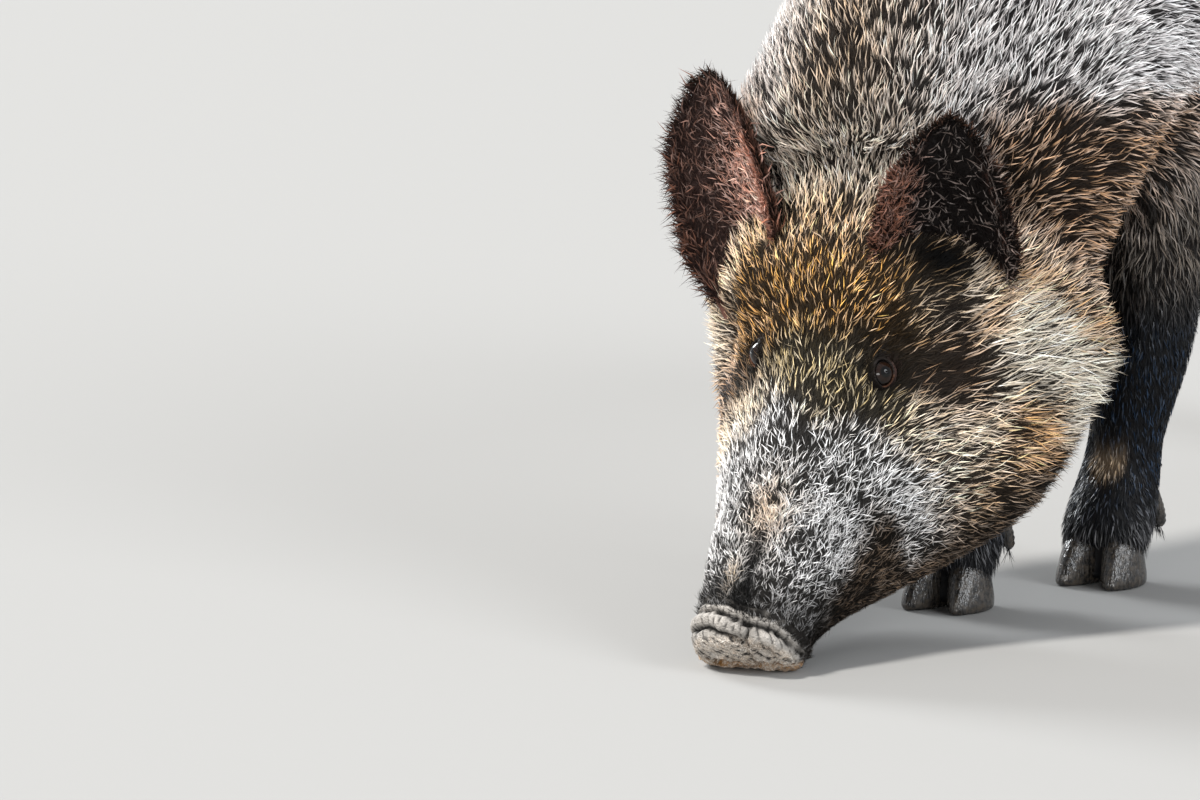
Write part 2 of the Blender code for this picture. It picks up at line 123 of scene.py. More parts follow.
def ripple(points, size, seed):
    """Smooth random values between about -1 and 1 that vary over a length: the sum of seven slanted
    waves, sin(place . wave + start), divided by 3."""
    rng = np.random.default_rng(seed)
    total = 0
    for _ in range(7):
        wave = unit(rng.normal(size=3)) * 2 * pi / (size * rng.uniform(0.7, 1.6))
        total = total + np.sin(points @ wave + rng.uniform(0, 2 * pi))
    return total / 3.0


def drawn(colours, mask, target):
    """Colours moved towards a target: colour + mask * (target - colour)."""
    return colours + mask[:, None] * (np.array(target) - colours)


print("half way up a step:", smoothstep(0.0, 1.0, 0.5), "and down it:", fade(0.0, 1.0, 0.5))

# %% [markdown]
# ## Helpers for surfaces
# A mesh is a list of points and a list of faces.  Both are numpy arrays here, so that a whole coat
# is put into Blender with a few calls, where adding its points one by one would take minutes.

# %% Surfaces from arrays
def field(parts, name, size, kind):
    """One field of every vertex, edge or triangle of a mesh, as an array with a row for each."""
    values = np.empty(len(parts) * size, kind)
    parts.foreach_get(name, values)
    return values.reshape(-1, size)


def new_piece(name, points, triangles):
    """An object at the origin whose mesh holds these points and triangles."""
    mesh = bpy.data.meshes.new(name)
    mesh.vertices.add(len(points))
    mesh.vertices.foreach_set("co", np.ascontiguousarray(points, np.float32).ravel())
    mesh.loops.add(triangles.size)
    mesh.loops.foreach_set("vertex_index", np.ascontiguousarray(triangles, np.int32).ravel())
    mesh.polygons.add(len(triangles))
    mesh.polygons.foreach_set("loop_start", np.arange(0, triangles.size, 3, dtype=np.int32))
    mesh.update(calc_edges=True)
    mesh.shade_smooth()
    piece = in_scene(name, mesh)
    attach(piece, "root")
    return piece


def paint(piece, name, colours):
    """A colour for every point of a piece, as an attribute that its material reads."""
    layer = piece.data.attributes.new(name, "FLOAT_COLOR", "POINT")
    rgba = np.ones((len(piece.data.vertices), 4), np.float32)
    rgba[:, :3] = colours
    layer.data.foreach_set("color", rgba.ravel())


def grid_triangles(rows, columns, closed=False):
    """The triangles of a grid of points, row by row; closed joins the last column to the first."""
    r = np.arange(rows - 1)[:, None]
    c = np.arange(columns if closed else columns - 1)[None, :]
    d = (c + 1) % columns
    a, b = r * columns + c, r * columns + d
    e, f = (r + 1) * columns + c, (r + 1) * columns + d
    halves = np.stack([a, b, f], -1), np.stack([a, f, e], -1)
    return np.concatenate([half.reshape(-1, 3) for half in halves])


def carried(start, *parts):
    """A start point plus the sum of length * way over the parts, for whole grids of lengths."""
    for lengths, way in parts:
        start = start + np.multiply.outer(lengths, way)
    return start


print("a closed grid of 4 by 6 points has", len(grid_triangles(4, 6, closed=True)), "triangles")

# %% [markdown]
# ## The head's own directions
# The face slopes, so places on it are easier to say in the head's own terms: how far from the snout's
# disc, how far out of the line of the face, and how far to the animal's left.

# %% Head directions
PITCH, YAW, ROLL = radians(51.5), radians(7.0), radians(2.0)
NOSE = FOOT + (0.4786, -0.072, 0.0408)  # end of the bridge of the nose, on the midline
ALONG = np.array((cos(PITCH) * cos(YAW), cos(PITCH) * sin(YAW), -sin(PITCH)))
LEVEL = np.array((-sin(YAW), cos(YAW), 0.0))
LEFT = LEVEL * cos(ROLL) + np.cross(ALONG, LEVEL) * sin(ROLL)
OUT = np.cross(ALONG, LEFT)
DISC_BEFORE, DISC_SLANT, DISC_TOP, DISC_HEIGHT = 0.015, 0.005, -0.004, 0.064


def head_place(points):
    """How far points lie up the face from the end of the bridge, out of the face and to the left."""
    offset = points - NOSE
    return -(offset @ ALONG), offset @ OUT, offset @ LEFT


def behind_disc(a, o):
    """How far places lie behind the snout's disc.  The disc stands before the end of the bridge and
    slants: a + before - slant * (share of the way down the disc)."""
    return a + DISC_BEFORE - DISC_SLANT * np.clip((DISC_TOP - o) / DISC_HEIGHT, 0, 1)


print("nose at", np.round(NOSE, 3), "out of the face is", np.round(OUT, 2))

# %% [markdown]
# ## The skin
# On the animal one skin runs from the snout to the tail.  The solids could be joined with Booleans, but
# these leave an edge where two parts meet.  So all the solids but the ears are wrapped in one
# closed surface with Blender's voxel remesh, which fills the thin cuts between them.

# %% Wrap the solids
GRAIN = 0.0062
EARS = ("ear_left", "ear_right")


def wrapped_solids():
    """One closed surface round every solid but the ears, as a bmesh."""
    bm = bmesh.new()
    for name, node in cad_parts.items():
        if name not in EARS:
            bm.from_mesh(node.data)
    bmesh.ops.remove_doubles(bm, verts=bm.verts, dist=1e-5)
    mesh = bpy.data.meshes.new("wrap")
    bm.to_mesh(mesh)
    bm.free()
    helper = in_scene("wrap", mesh)
    remesh = helper.modifiers.new("Wrap", "REMESH")
    remesh.mode = "VOXEL"
    remesh.voxel_size = GRAIN
    graph = bpy.context.evaluated_depsgraph_get()
    wrapped = bmesh.new()
    wrapped.from_mesh(helper.evaluated_get(graph).to_mesh())
    bpy.data.objects.remove(helper, do_unlink=True)
    return wrapped


wrap = wrapped_solids()
print("wrapped surface:", len(wrap.verts), "points")

# %% [markdown]
# The wrap still shows the edges of the solids.  It is relaxed: each point moves towards the mean of its
# neighbours, some rounds over, less on the feet and the snout's tip, which have to stay firm, and
# many more times on the nape, where skull and neck run into each other.

# %% Relax it
def points_and_edges(bm):
    """The points of a bmesh, and the two ends of each of its edges."""
    mesh = bpy.data.meshes.new("points")
    bm.to_mesh(mesh)
    points = field(mesh.vertices, "co", 3, np.float32).astype(float)
    ends = field(mesh.edges, "vertices", 2, np.int32)
    bpy.data.meshes.remove(mesh)
    return points, ends


def relaxed(values, ends, rounds, share=0.5):
    """Values at the points, some rounds over moved by share * (mean of the neighbours - value)."""
    one, other = ends.T
    size = len(values)
    neighbours = np.bincount(ends.ravel(), minlength=size).astype(float)
    share = np.broadcast_to(share, size)
    values = values.reshape(size, -1).copy()
    for _ in range(rounds):
        for column in range(values.shape[1]):
            v = values[:, column]
            total = np.bincount(one, v[other], size) + np.bincount(other, v[one], size)
            values[:, column] = v + share * (total / neighbours - v)
    return values


points, ends = points_and_edges(wrap)
a, o, l = head_place(points)
firm = np.maximum(fade(0.035, 0.075, points[:, 2]), fade(0.015, 0.05, a))
points = relaxed(points, ends, 14, 0.5 * (1 - 0.85 * firm))
nape_fold = bump_at(a, 0.355, 0.050) * fade(0.10, 0.15, np.abs(l)) * smoothstep(-0.09, -0.04, o)
points = relaxed(points, ends, 70, 0.5 * nape_fold)
for vertex, place in zip(wrap.verts, points):
    vertex.co = place
print("firm points:", int((firm > 0.5).sum()), "points on the nape:", int((nape_fold > 0.5).sum()))

# %% [markdown]
# Lids, nostrils and wrinkles are smaller than the wrap's faces.  A finer wrap of the whole animal would be
# very heavy, so only the faces near the eyes and the snout are divided, in three rounds that each
# reach less far.

# %% Divide it near the eyes and the snout
def eye_distance(points):
    """How far points lie from the middle of the nearer eye."""
    return np.minimum(*[np.linalg.norm(points - middle(eye), axis=1) for eye in ("eye_left", "eye_right")])


def divided(bm, inside):
    """Each edge between points that lie inside is halved, and its faces with it."""
    chosen = [edge for edge in bm.edges if all(inside[vertex.index] for vertex in edge.verts)]
    bmesh.ops.subdivide_edges(bm, edges=chosen, cuts=1, use_grid_fill=True)
    bm.verts.index_update()
    bm.verts.ensure_lookup_table()


for eye_reach, disc_reach in ((0.042, 0.055), (0.030, 0.042), (0.0215, -1.0)):
    wrap.verts.index_update()
    points, ends = points_and_edges(wrap)
    divided(wrap, (eye_distance(points) < eye_reach) | (head_place(points)[0] < disc_reach))
bmesh.ops.triangulate(wrap, faces=wrap.faces)
points, ends = points_and_edges(wrap)
triangles = np.array([[vertex.index for vertex in face.verts] for face in wrap.faces])
wrap.free()
fine = np.maximum(fade(0.035, 0.045, eye_distance(points)), fade(0.05, 0.06, head_place(points)[0]))
points = relaxed(points, ends, 6, 0.5 * fine)
print("skin:", len(points), "points,", len(triangles), "triangles")

# %% [markdown]
# ## Which part of the body is where
# The hair's length, lie and colour differ from head to tail.  Vertex groups could be painted for this.
# Here each point of the skin takes the name of the solid that it is nearest to, found among a few
# thousand places strewn over the solids.  These shares are then relaxed over the surface, so
# that one kind of coat passes softly into the next.

# %% Places strewn over triangles
def scattered(co, triangles, count, weight, rng):
    """Random places on triangles, more of them where area times weight is large: the triangle of each
    place, and the shares of its three corners."""
    corners = co[triangles]
    sides = corners[:, 1] - corners[:, 0], corners[:, 2] - corners[:, 0]
    area = np.linalg.norm(np.cross(*sides), axis=1) / 2
    sums = np.cumsum(area * weight)
    face = np.searchsorted(sums, (np.arange(count) + rng.random(count)) / count * sums[-1])
    face = np.minimum(face, len(triangles) - 1)
    u, v = rng.random(count), rng.random(count)
    over = u + v > 1
    u, v = np.where(over, 1 - u, u), np.where(over, 1 - v, v)
    return face, np.column_stack([1 - u - v, u, v])


def at_places(values, triangles, places):
    """Values at the corners of triangles, mixed by the corners' shares at the scattered places."""
    face, corner_shares = places
    values = values.astype(float).reshape(len(values), -1)
    return np.einsum("nkc,nk->nc", values[triangles[face]], corner_shares)


def solid_samples(names, count):
    """Places strewn over the surfaces of some solids."""
    rng = np.random.default_rng(1)
    found = []
    for name in names:
        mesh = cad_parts[name].data
        mesh.calc_loop_triangles()
        co = field(mesh.vertices, "co", 3, np.float32)
        index = field(mesh.loop_triangles, "vertices", 3, np.int32)
        found.append(at_places(co, index, scattered(co, index, count, 1.0, rng)))
    return np.vstack(found)


# %% Shares of the body's parts
PARTS = {
    "head": ("head", "snout"),
    "neck": ("neck",),
    "trunk": ("trunk",),
    "foreleg": ("foreleg_left", "foreleg_right"),
    "hindleg": ("hindleg_left", "hindleg_right"),
    "tail": ("tail",),
    "horn": tuple(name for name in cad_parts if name.startswith(("hoof", "dewclaw"))),
}
SAMPLES_PER_PART = 1400

samples = [solid_samples(names, SAMPLES_PER_PART // len(names)) for names in PARTS.values()]
owner = np.repeat(np.arange(len(PARTS)), [len(s) for s in samples])
samples = np.vstack(samples).astype(np.float32)
nearest = np.concatenate([
    np.argmin((samples**2).sum(axis=1) - 2 * block @ samples.T, axis=1)
    for block in np.array_split(points.astype(np.float32), 40)
])
shares = relaxed(np.eye(len(PARTS))[owner[nearest]], ends, 60)
share = dict(zip(PARTS, shares.T))
head, legs = share["head"], share["foreleg"] + share["hindleg"]
print({name: round(float(value.mean()), 3) for name, value in share.items()})

# %% [markdown]
# ## The lie of the coat
# Hair grows from the nose backwards: up the forehead, outwards and down over the cheeks, back and down
# over neck and flanks, and straight down the legs.  It could be combed by hand with particle hair, but
# that isn't a mesh.  Here each part of the body has a way of its own, and the shares mix them.

# %% Fields that the coat and the markings use
def normals_of(points, triangles):
    """The mean direction of the faces round each point, by area."""
    corners = points[triangles]
    face = np.cross(corners[:, 1] - corners[:, 0], corners[:, 2] - corners[:, 0])
    owners, each = triangles.ravel(), np.repeat(face, 3, axis=0).T
    return unit(np.stack([np.bincount(owners, part, len(points)) for part in each], -1))


x, y, z = points.T
a, o, l = head_place(points)
off = np.abs(l)
s = behind_disc(a, o)
normals = normals_of(points, triangles)
side = np.tanh(l / 0.03)
cheek = smoothstep(0.030, 0.100, off) * smoothstep(0.05, 0.20, a)
jowl = smoothstep(0.185, 0.260, a) * smoothstep(0.075, 0.120, off) * fade(-0.045, 0.000, o)
crown = smoothstep(0.300, 0.350, a) * fade(0.09, 0.13, off)
long_muzzle = smoothstep(0.05, 0.16, a)
crest = bump_at(y + 0.02, 0.0, 0.075) * smoothstep(0.45, 0.60, z)
belly = fade(0.34, 0.42, z)
upper_leg = smoothstep(0.16, 0.30, z)
fetlock = fade(0.050, 0.085, z)
print("points on cheeks and jowls:", int((cheek * head > 0.5).sum()), int((jowl * head > 0.5).sum()))

# %% Its lie
low = smoothstep(0.040, 0.150, -o)
nape = smoothstep(0.05, 0.75, normals @ unit(np.array((0.72, 0.0, 0.70))))
head_way = (
    -ALONG * (1 - 0.55 * cheek)[:, None]
    + LEFT * (side * (0.12 + cheek * (0.85 - 0.25 * low)))[:, None]
    - OUT * (0.75 * cheek * low)[:, None]
)
neck_way = np.column_stack([-1.0 + 0.36 * nape, 0.10 * side, -0.16 + 0.92 * nape])
trunk_way = np.column_stack([-np.ones_like(x), 0 * x, -0.10 - 0.45 * fade(0.45, 0.62, z)])
leg_way = np.column_stack([-0.16 + 0 * x, 0 * x, -np.ones_like(x)])
way = (
    head_way * head[:, None]
    + neck_way * share["neck"][:, None]
    + trunk_way * share["trunk"][:, None]
    + leg_way * (legs + share["tail"] + share["horn"])[:, None]
)
print("mean way of the coat", np.round(way.mean(axis=0), 2))

# %% [markdown]
# The coat is deep on neck and back, shallow on muzzle and legs, and there is none on the snout's disc
# and round the eyes.  Length is how far a tuft reaches along the body, depth how high it stands.

# %% Its length and depth
whiskers = cheek * smoothstep(0.12, 0.22, a)
length = (
    head * (0.0085 + 0.0040 * long_muzzle + 0.007 * whiskers + 0.012 * jowl + 0.006 * crown)
    + share["neck"] * (0.015 + 0.008 * crest)
    + share["trunk"] * (0.026 + 0.026 * crest)
    + (legs + share["horn"]) * (0.010 + 0.012 * upper_leg + 0.005 * fetlock)
    + share["tail"] * (0.018 + 0.024 * fade(0.36, 0.44, z))
)
depth = (
    head * (0.0030 + 0.0020 * long_muzzle + 0.0015 * cheek + 0.006 * jowl)
    + share["neck"] * 0.012
    + share["trunk"] * (0.015 - 0.003 * belly)
    + legs * (0.0018 + 0.0072 * upper_leg)
    + share["horn"] * 0.003
    + share["tail"] * 0.005
)
depth *= 1 - 0.9 * fade(0.018, 0.042, s) * head
print("coat depth", np.round([depth.min(), depth.mean(), depth.max()], 4))

# %% [markdown]
# ## From the outline to the skin
# Every point goes inwards by the coat's depth.  Then the folds of the face are raised and sunk.  They
# could be sculpted by hand.  As sums of bumps each roll and crease has a place, a width and a height
# of its own, and waves that wander along it keep it from looking drawn with a ruler.

# %% Snout: rolls above the disc
skin_points = points - normals * depth[:, None]
wander, shiver = ripple(points, 0.030, 3), ripple(points, 0.009, 4)
fold = s + 0.0014 * wander + 0.0007 * shiver
fold = fold + 0.24 * np.clip(l - 0.012, -0.050, 0) + 0.22 * np.maximum(l - 0.014, 0)
top_side = smoothstep(-0.050, -0.012, o)
flank_side = smoothstep(0.022, 0.036, off) * (1 - top_side)
both_sides = np.maximum(top_side, 0.5 * flank_side)
ROLLS = (  # height, place behind the disc, width, where
    (0.0034, 0.0105, 0.0048, both_sides),
    (-0.0042, 0.0036, 0.0017, top_side),
    (-0.0056, 0.0180, 0.0021, both_sides * np.clip(0.75 + 0.45 * shiver, 0.2, 1.2)),
    (0.0018, 0.0225, 0.0030, top_side),
    (-0.0036, 0.0275, 0.0016, top_side * np.clip(0.7 + 0.5 * wander, 0, 1)),
    (0.0012, 0.0320, 0.0030, top_side),
    (-0.0030, 0.0370, 0.0016, top_side * bump_at(l, -0.004, 0.030)),
    (-0.0020, 0.0150, 0.0013, top_side * bump_at(l, 0.0300, 0.0120)),
)
relief = sum(height * bump_at(fold, place, wide) * where for height, place, wide, where in ROLLS)
across_roll = np.maximum(np.cos((l + 0.0012 * wander + 0.15 * s) * 2 * pi / 0.0058), 0) ** 4
relief -= 0.0013 * across_roll * bump_at(fold, 0.0110, 0.0060) * both_sides
print("rolls from", round(relief.min() * 1000, 1), "to", round(relief.max() * 1000, 1), "mm")

# %% Snout, mouth, brow and cheek
notch = bump_at(l - 0.35 * (s - 0.006), 0.0130, 0.0017) * bump_at(s, 0.007, 0.0075)
relief -= 0.0055 * notch * smoothstep(-0.045, -0.020, o)
left_lobe = bump_at(l, 0.0270, 0.0100) * bump_at(s, 0.0060, 0.0060)
relief += 0.0026 * left_lobe * smoothstep(-0.050, -0.025, o)
relief -= 0.0022 * bump_at(l, 0.008, 0.0075) * bump_at(a, 0.036, 0.030) * smoothstep(-0.02, 0.0, o)
for line, deep in ((0.0, 0.0050), (0.011, 0.0022), (-0.010, 0.0020)):
    lip = o + 0.052 + line + 0.30 * a + 0.002 * wander
    relief -= deep * bump_at(lip, 0.0, 0.0030) * smoothstep(0.016, 0.030, s) * fade(0.11, 0.14, a)
right_brow = bump_at(a, 0.272, 0.024) * smoothstep(0.070, 0.115, -l) * smoothstep(-0.120, -0.060, o)
relief -= 0.014 * right_brow
relief -= 0.0040 * bump_at(a, 0.105, 0.030) * bump_at(o, -0.048, 0.022) * smoothstep(0.03, 0.05, off)
relief += 0.0035 * bump_at(a, 0.255, 0.035) * bump_at(o, -0.105, 0.030)
relief *= head
skin_points = skin_points + normals * relief[:, None]
print("relief from", round(relief.min() * 1000, 1), "to", round(relief.max() * 1000, 1), "mm")

# %% Snout: disc and nostrils
NOSTRIL_APART, NOSTRIL_DOWN, NOSTRIL_WIDE, NOSTRIL_HIGH = 0.0170, 0.040, 0.0065, 0.0085
on_disc = fade(0.003, 0.008, s) * head
pits = 0.8 * ripple(points, 0.0060, 31) + 0.8 * ripple(points, 0.0034, 32)
skin_points = skin_points + ALONG * (0.0007 * on_disc * pits)[:, None]


def nostril(left, slant):
    """0 in the middle of a nostril and 1 on its edge: the length of (aside / half width, up / half
    height), where up is less by slant * aside."""
    aside = l * left - NOSTRIL_APART
    return np.hypot(aside / NOSTRIL_WIDE, (o + NOSTRIL_DOWN - slant * aside) / NOSTRIL_HIGH)


for left in (1, -1):
    hole = nostril(left, 0.10)
    sunk = 0.013 * fade(0.45, 1.05, hole) - 0.0014 * bump_at(hole, 1.25, 0.22)
    skin_points = skin_points - ALONG * (sunk * on_disc)[:, None]
print("points on the disc:", int((on_disc > 0.5).sum()))

# %% [markdown]
# ## Lids
# A lid is skin that lies close on the ball.  Lids could be pieces of their own, but then a seam would
# show.  So round each eye the skin is lifted to a sphere a little larger than the ball, and inside
# an almond-shaped opening it drops behind the ball, which shows there.

# %% Where each eye sits and looks
BALL = 0.0118
OPEN_LONG, OPEN_UPPER, OPEN_LOWER, ALMOND = 0.0100, 0.0078, 0.0068, 1.9
SLANT, SUNK_IN, SOCKET = radians(24), 0.0062, 0.022
EYES = {}
for left, word in ((1, "left"), (-1, "right")):
    ball_middle = middle("eye_" + word)
    around = np.linalg.norm(points - ball_middle, axis=1) < SOCKET
    out_way = unit(normals[around].mean(axis=0) + LEFT * (0.20 * left))
    back_way = unit(-ALONG + out_way * (ALONG @ out_way))
    up_way = np.cross(out_way, back_way) * left
    up_way = up_way * np.sign(up_way @ OUT)
    back_way, up_way = (back_way * cos(SLANT) + up_way * sin(SLANT),
                        up_way * cos(SLANT) - back_way * sin(SLANT))
    level = np.median((skin_points[around] - ball_middle) @ out_way)
    EYES[word] = (ball_middle + out_way * (level - SUNK_IN), back_way, up_way, out_way)
    print(word, "eye looks", np.round(out_way, 2), "skin stands", round(level * 1000, 1), "mm out")


def eye_place(points, word):
    """How far points lie back, up and out from an eyeball's middle, and 1 on the edge of its opening,
    which is the almond |back / long| ** 1.9 + |up / high| ** 1.9 = 1."""
    centre, back_way, up_way, out_way = EYES[word]
    offset = points - centre
    back, up, out = offset @ back_way, offset @ up_way, offset @ out_way
    high = np.where(up > 0, OPEN_UPPER, OPEN_LOWER)
    edge = (np.abs(back / OPEN_LONG) ** ALMOND + np.abs(up / high) ** ALMOND) ** (1 / ALMOND)
    return back, up, out, edge


# %% Sockets and lids
def socket_hollow(back, up, away):
    """How far the skin round an eye stands out: a hollow, a ridge over it, two rings behind it and a
    tear line in front."""
    behind = smoothstep(0.0, 0.010, back - 0.3 * np.abs(up))
    rings = bump_at(away, 0.027, 0.0032) + 0.8 * bump_at(away, 0.038, 0.0036)
    tear = bump_at(up + 0.35 * (back + 0.010), -0.002, 0.0028) * smoothstep(0.010, 0.014, -back)
    return (
        -0.0042 * bump_at(away, 0.0, 0.024)
        + 0.0055 * bump_at(up, 0.026, 0.011) * bump_at(back, 0.0, 0.028)
        - 0.0032 * rings * behind
        - 0.0026 * tear * fade(0.034, 0.044, -back)
    )


def lid_height(edge, away):
    """How far a lid stands out from the ball's middle: the square root of shell squared - away squared,
    where the shell is the ball with folds round the opening.  Far from the opening it sinks away."""
    folds = 0.0007 * np.cos((edge - 1.15) * 2 * pi / 0.42) * bump_at(edge, 1.5, 0.45)
    shell = BALL - 0.0012 + 0.0026 * smoothstep(0.92, 1.06, edge) + folds
    return np.sqrt(np.maximum(shell**2 - away**2, 0.0)) - 0.02 * smoothstep(1.5, 2.1, edge)


OPENING, EDGE_ROUND, LID_REACH = 0.92, 0.0012, 2.8
for word, (*_, out_way) in EYES.items():
    back, up, out, edge = eye_place(skin_points, word)
    away = np.hypot(back, up)
    here = (out > -0.012) & (away < 0.055)
    hollow = np.where(here, socket_hollow(back, up, away), 0.0)
    lid = lid_height(edge, away)
    raised = np.logaddexp((out + hollow) / EDGE_ROUND, lid / EDGE_ROUND) * EDGE_ROUND
    closed = np.where(edge < 1.0, np.minimum(lid, BALL * 1.05), raised)
    target = np.where(edge < OPENING, 0.25 * BALL, closed)
    change = np.where(here & (edge < LID_REACH), target - out, hollow)
    skin_points = skin_points + out_way * change[:, None]
print("eyes at", [np.round(value[0], 3) for value in EYES.values()])

# %% [markdown]
# ## Ears
# An ear is a cupped leaf, a few millimetres thick.  A flat leaf could be bent with modifiers, but cup,
# curl and rim are easier to steer as a function of two numbers: how far up the ear, and how far from
# one edge to the other.  The inner and the outer side are two such sheets that meet at the rim.

# %% Ear surfaces
EAR_LENGTH, EAR_WIDTH, EAR_WALL = 0.163, 0.102, 0.0050
EAR_BASES = {1: (0.296, -0.054, 0.076), -1: (0.318, -0.046, 0.088)}  # up the face, out of it, aside
EAR_WAYS = {1: (0.62, 0.74, 0.16), -1: (0.84, 0.55, 0.22)}  # back, out and aside
EAR_LEVELS = (-0.15, 0.0, 0.16, 0.34, 0.52, 0.70, 0.85, 0.95, 1.0)
EAR_WIDTHS = (0.60, 0.72, 0.95, 1.02, 0.95, 0.74, 0.44, 0.20, 0.02)
CUP_LEVELS = (-0.15, 0.0, 0.16, 0.34, 0.52, 0.70, 0.85, 1.0)
CUP_DEPTHS = (0.6, 0.55, 0.55, 0.45, 0.36, 0.28, 0.22, 0.1)


def ear_axes(left):
    """Base, and the ways up the ear, out of its hollow and across it."""
    along, above, aside = EAR_BASES[left]
    base = NOSE - ALONG * along + OUT * above + LEFT * (aside * left)
    back, out, aside = EAR_WAYS[left]
    up = unit(-ALONG * back + OUT * out + LEFT * (aside * left))
    face = OUT * 0.86 + ALONG * 0.48 + LEFT * (0.45 * left)
    face = unit(face - up * (face @ up))
    return base, up, face, np.cross(up, face)


def ear_sheet(left, high, across, wall):
    """Points of an ear: high runs from the base (0) to the tip (1), across from -1 to 1, and wall is 0
    inside and 1 outside.  A point is base + up * length * high + aside * half * across + face * forward,
    where forward is a bow, less the cup's half * cup * (1 - across squared), less the wall."""
    base, up, face, aside = ear_axes(left)
    width = np.interp(high, EAR_LEVELS, EAR_WIDTHS)
    width = width + 0.14 * (left == -1) * np.clip(high - 0.4, 0, 0.4) * (high < 1)
    half = EAR_WIDTH * width / 2
    curled = across * (1 - 0.04 * np.sin(high * 9 + across * 2.0))
    inside = 1 - across**2
    cupped = half * np.interp(high, CUP_LEVELS, CUP_DEPTHS) * (1 - curled**2)
    sunk = cupped + 0.0016 * np.sin(high * 14) * inside
    ridge = 0.0030 * np.cos(across * 5.5) * inside * fade(0.1, 0.5, high)
    thick = EAR_WALL * wall * np.sqrt(np.clip(0.04 + inside, 0, 1)) * (0.5 + 0.5 * width)
    forward = 0.010 * np.sin(pi * np.clip(high, 0, 1)) - sunk - ridge * (1 - wall) - thick - 0.0035
    return carried(base, (EAR_LENGTH * high, up), (half * curled, aside), (forward, face))


# %% Ear meshes
EAR_ROWS, EAR_COLUMNS = 54, 33


def ear_mesh(left):
    """Points, triangles that face outwards, and for each point how high, how far across and whether
    it is on the inner side.  The rings are closed by a fan of triangles at the base and the tip."""
    high, across = np.meshgrid(
        np.linspace(-0.15, 1.0, EAR_ROWS), np.sin(np.linspace(-pi / 2, pi / 2, EAR_COLUMNS)), indexing="ij")
    sheets = [ear_sheet(left, high, across, wall)[:, ::step] for wall, step in ((0.0, 1), (1.0, -1))]
    ear_points = np.concatenate(sheets, axis=1).reshape(-1, 3)
    around = 2 * EAR_COLUMNS
    base_fan = np.array([[0, j + 1, j] for j in range(1, around - 1)])
    tip_fan = (EAR_ROWS - 1) * around + base_fan[:, [0, 2, 1]]
    index = np.concatenate([grid_triangles(EAR_ROWS, around, closed=True), base_fan, tip_fan])
    first, second, third = (ear_points[index] - ear_points.mean(axis=0)).transpose(1, 0, 2)
    if np.sum(first * np.cross(second, third)) < 0:
        index = index[:, ::-1]
    highs = np.concatenate([high, high], axis=1)
    acrosses = np.concatenate([across, across[:, ::-1]], axis=1)
    is_inner = np.broadcast_to(np.arange(around) < EAR_COLUMNS, highs.shape)
    return ear_points, index, highs.ravel(), acrosses.ravel(), is_inner.ravel()


ear_meshes = {left: ear_mesh(left) for left in (1, -1)}
print("ear points:", len(ear_meshes[1][0]))

# %% [markdown]
# ## Colours
# Wild boar are agouti: each bristle is black-brown with a pale tip.  The pale tips are golden on the
# forehead, silver on the muzzle and cream on the cheeks, and the legs are black.  An image could hold
# the markings, but it would blur close by.  So each marking is a look with a mask, laid over the
# ones before it, and the same looks colour the skin and the coat.

# %% Looks
LOOKS = {  # under-colour, tip colour, share of pale tufts
    "flank": ((0.008, 0.006, 0.005), (0.850, 0.720, 0.600), 0.40),
    "back": ((0.006, 0.004, 0.003), (0.600, 0.440, 0.310), 0.30),
    "belly": ((0.007, 0.005, 0.004), (0.320, 0.235, 0.170), 0.22),
    "shoulder": ((0.007, 0.006, 0.007), (1.000, 0.940, 0.910), 0.52),
    "neck": ((0.007, 0.006, 0.006), (1.000, 0.960, 0.960), 0.53),
    "withers": ((0.007, 0.005, 0.004), (0.860, 0.660, 0.490), 0.17),
    "collar": ((0.005, 0.003, 0.002), (0.620, 0.400, 0.260), 0.17),
    "nape": ((0.008, 0.006, 0.005), (1.000, 0.880, 0.760), 0.75),
    "cheek": ((0.007, 0.005, 0.004), (1.000, 0.840, 0.660), 0.19),
    "muzzle": ((0.007, 0.006, 0.005), (1.000, 0.980, 0.970), 0.17),
    "olive": ((0.007, 0.006, 0.004), (0.720, 0.580, 0.350), 0.11),
    "forehead": ((0.006, 0.004, 0.002), (0.920, 0.530, 0.220), 0.07),
    "crown": ((0.007, 0.005, 0.004), (0.900, 0.640, 0.420), 0.12),
    "jowl": ((0.006, 0.004, 0.003), (0.960, 0.680, 0.450), 0.08),
    "rust": ((0.010, 0.006, 0.004), (0.950, 0.580, 0.310), 0.20),
    "ruff": ((0.010, 0.008, 0.006), (1.000, 0.900, 0.750), 0.20),
    "jaw": ((0.004, 0.003, 0.002), (0.200, 0.145, 0.105), 0.12),
    # leg: the bluish pale tips are a painted sheen; the hair itself is black
    "leg": ((0.0015, 0.002, 0.003), (0.016, 0.030, 0.056), 0.20),
}
UNDER, TIP, PALE = slice(0, 3), slice(3, 6), slice(6, 7)  # columns of a look
COLOURS, PALE_TIPS, ALL = slice(0, 6), slice(3, 7), slice(0, 7)


def marked(masks):
    """Under-colour, tip colour and pale share from masks laid over each other in turn."""
    value = np.zeros((len(points), 7))
    for name, mask in masks.items():
        under_colour, tip_colour, pale = LOOKS[name]
        value = drawn(value, np.clip(mask, 0, 1), (*under_colour, *tip_colour, pale))
    return value


print("looks:", ", ".join(LOOKS))

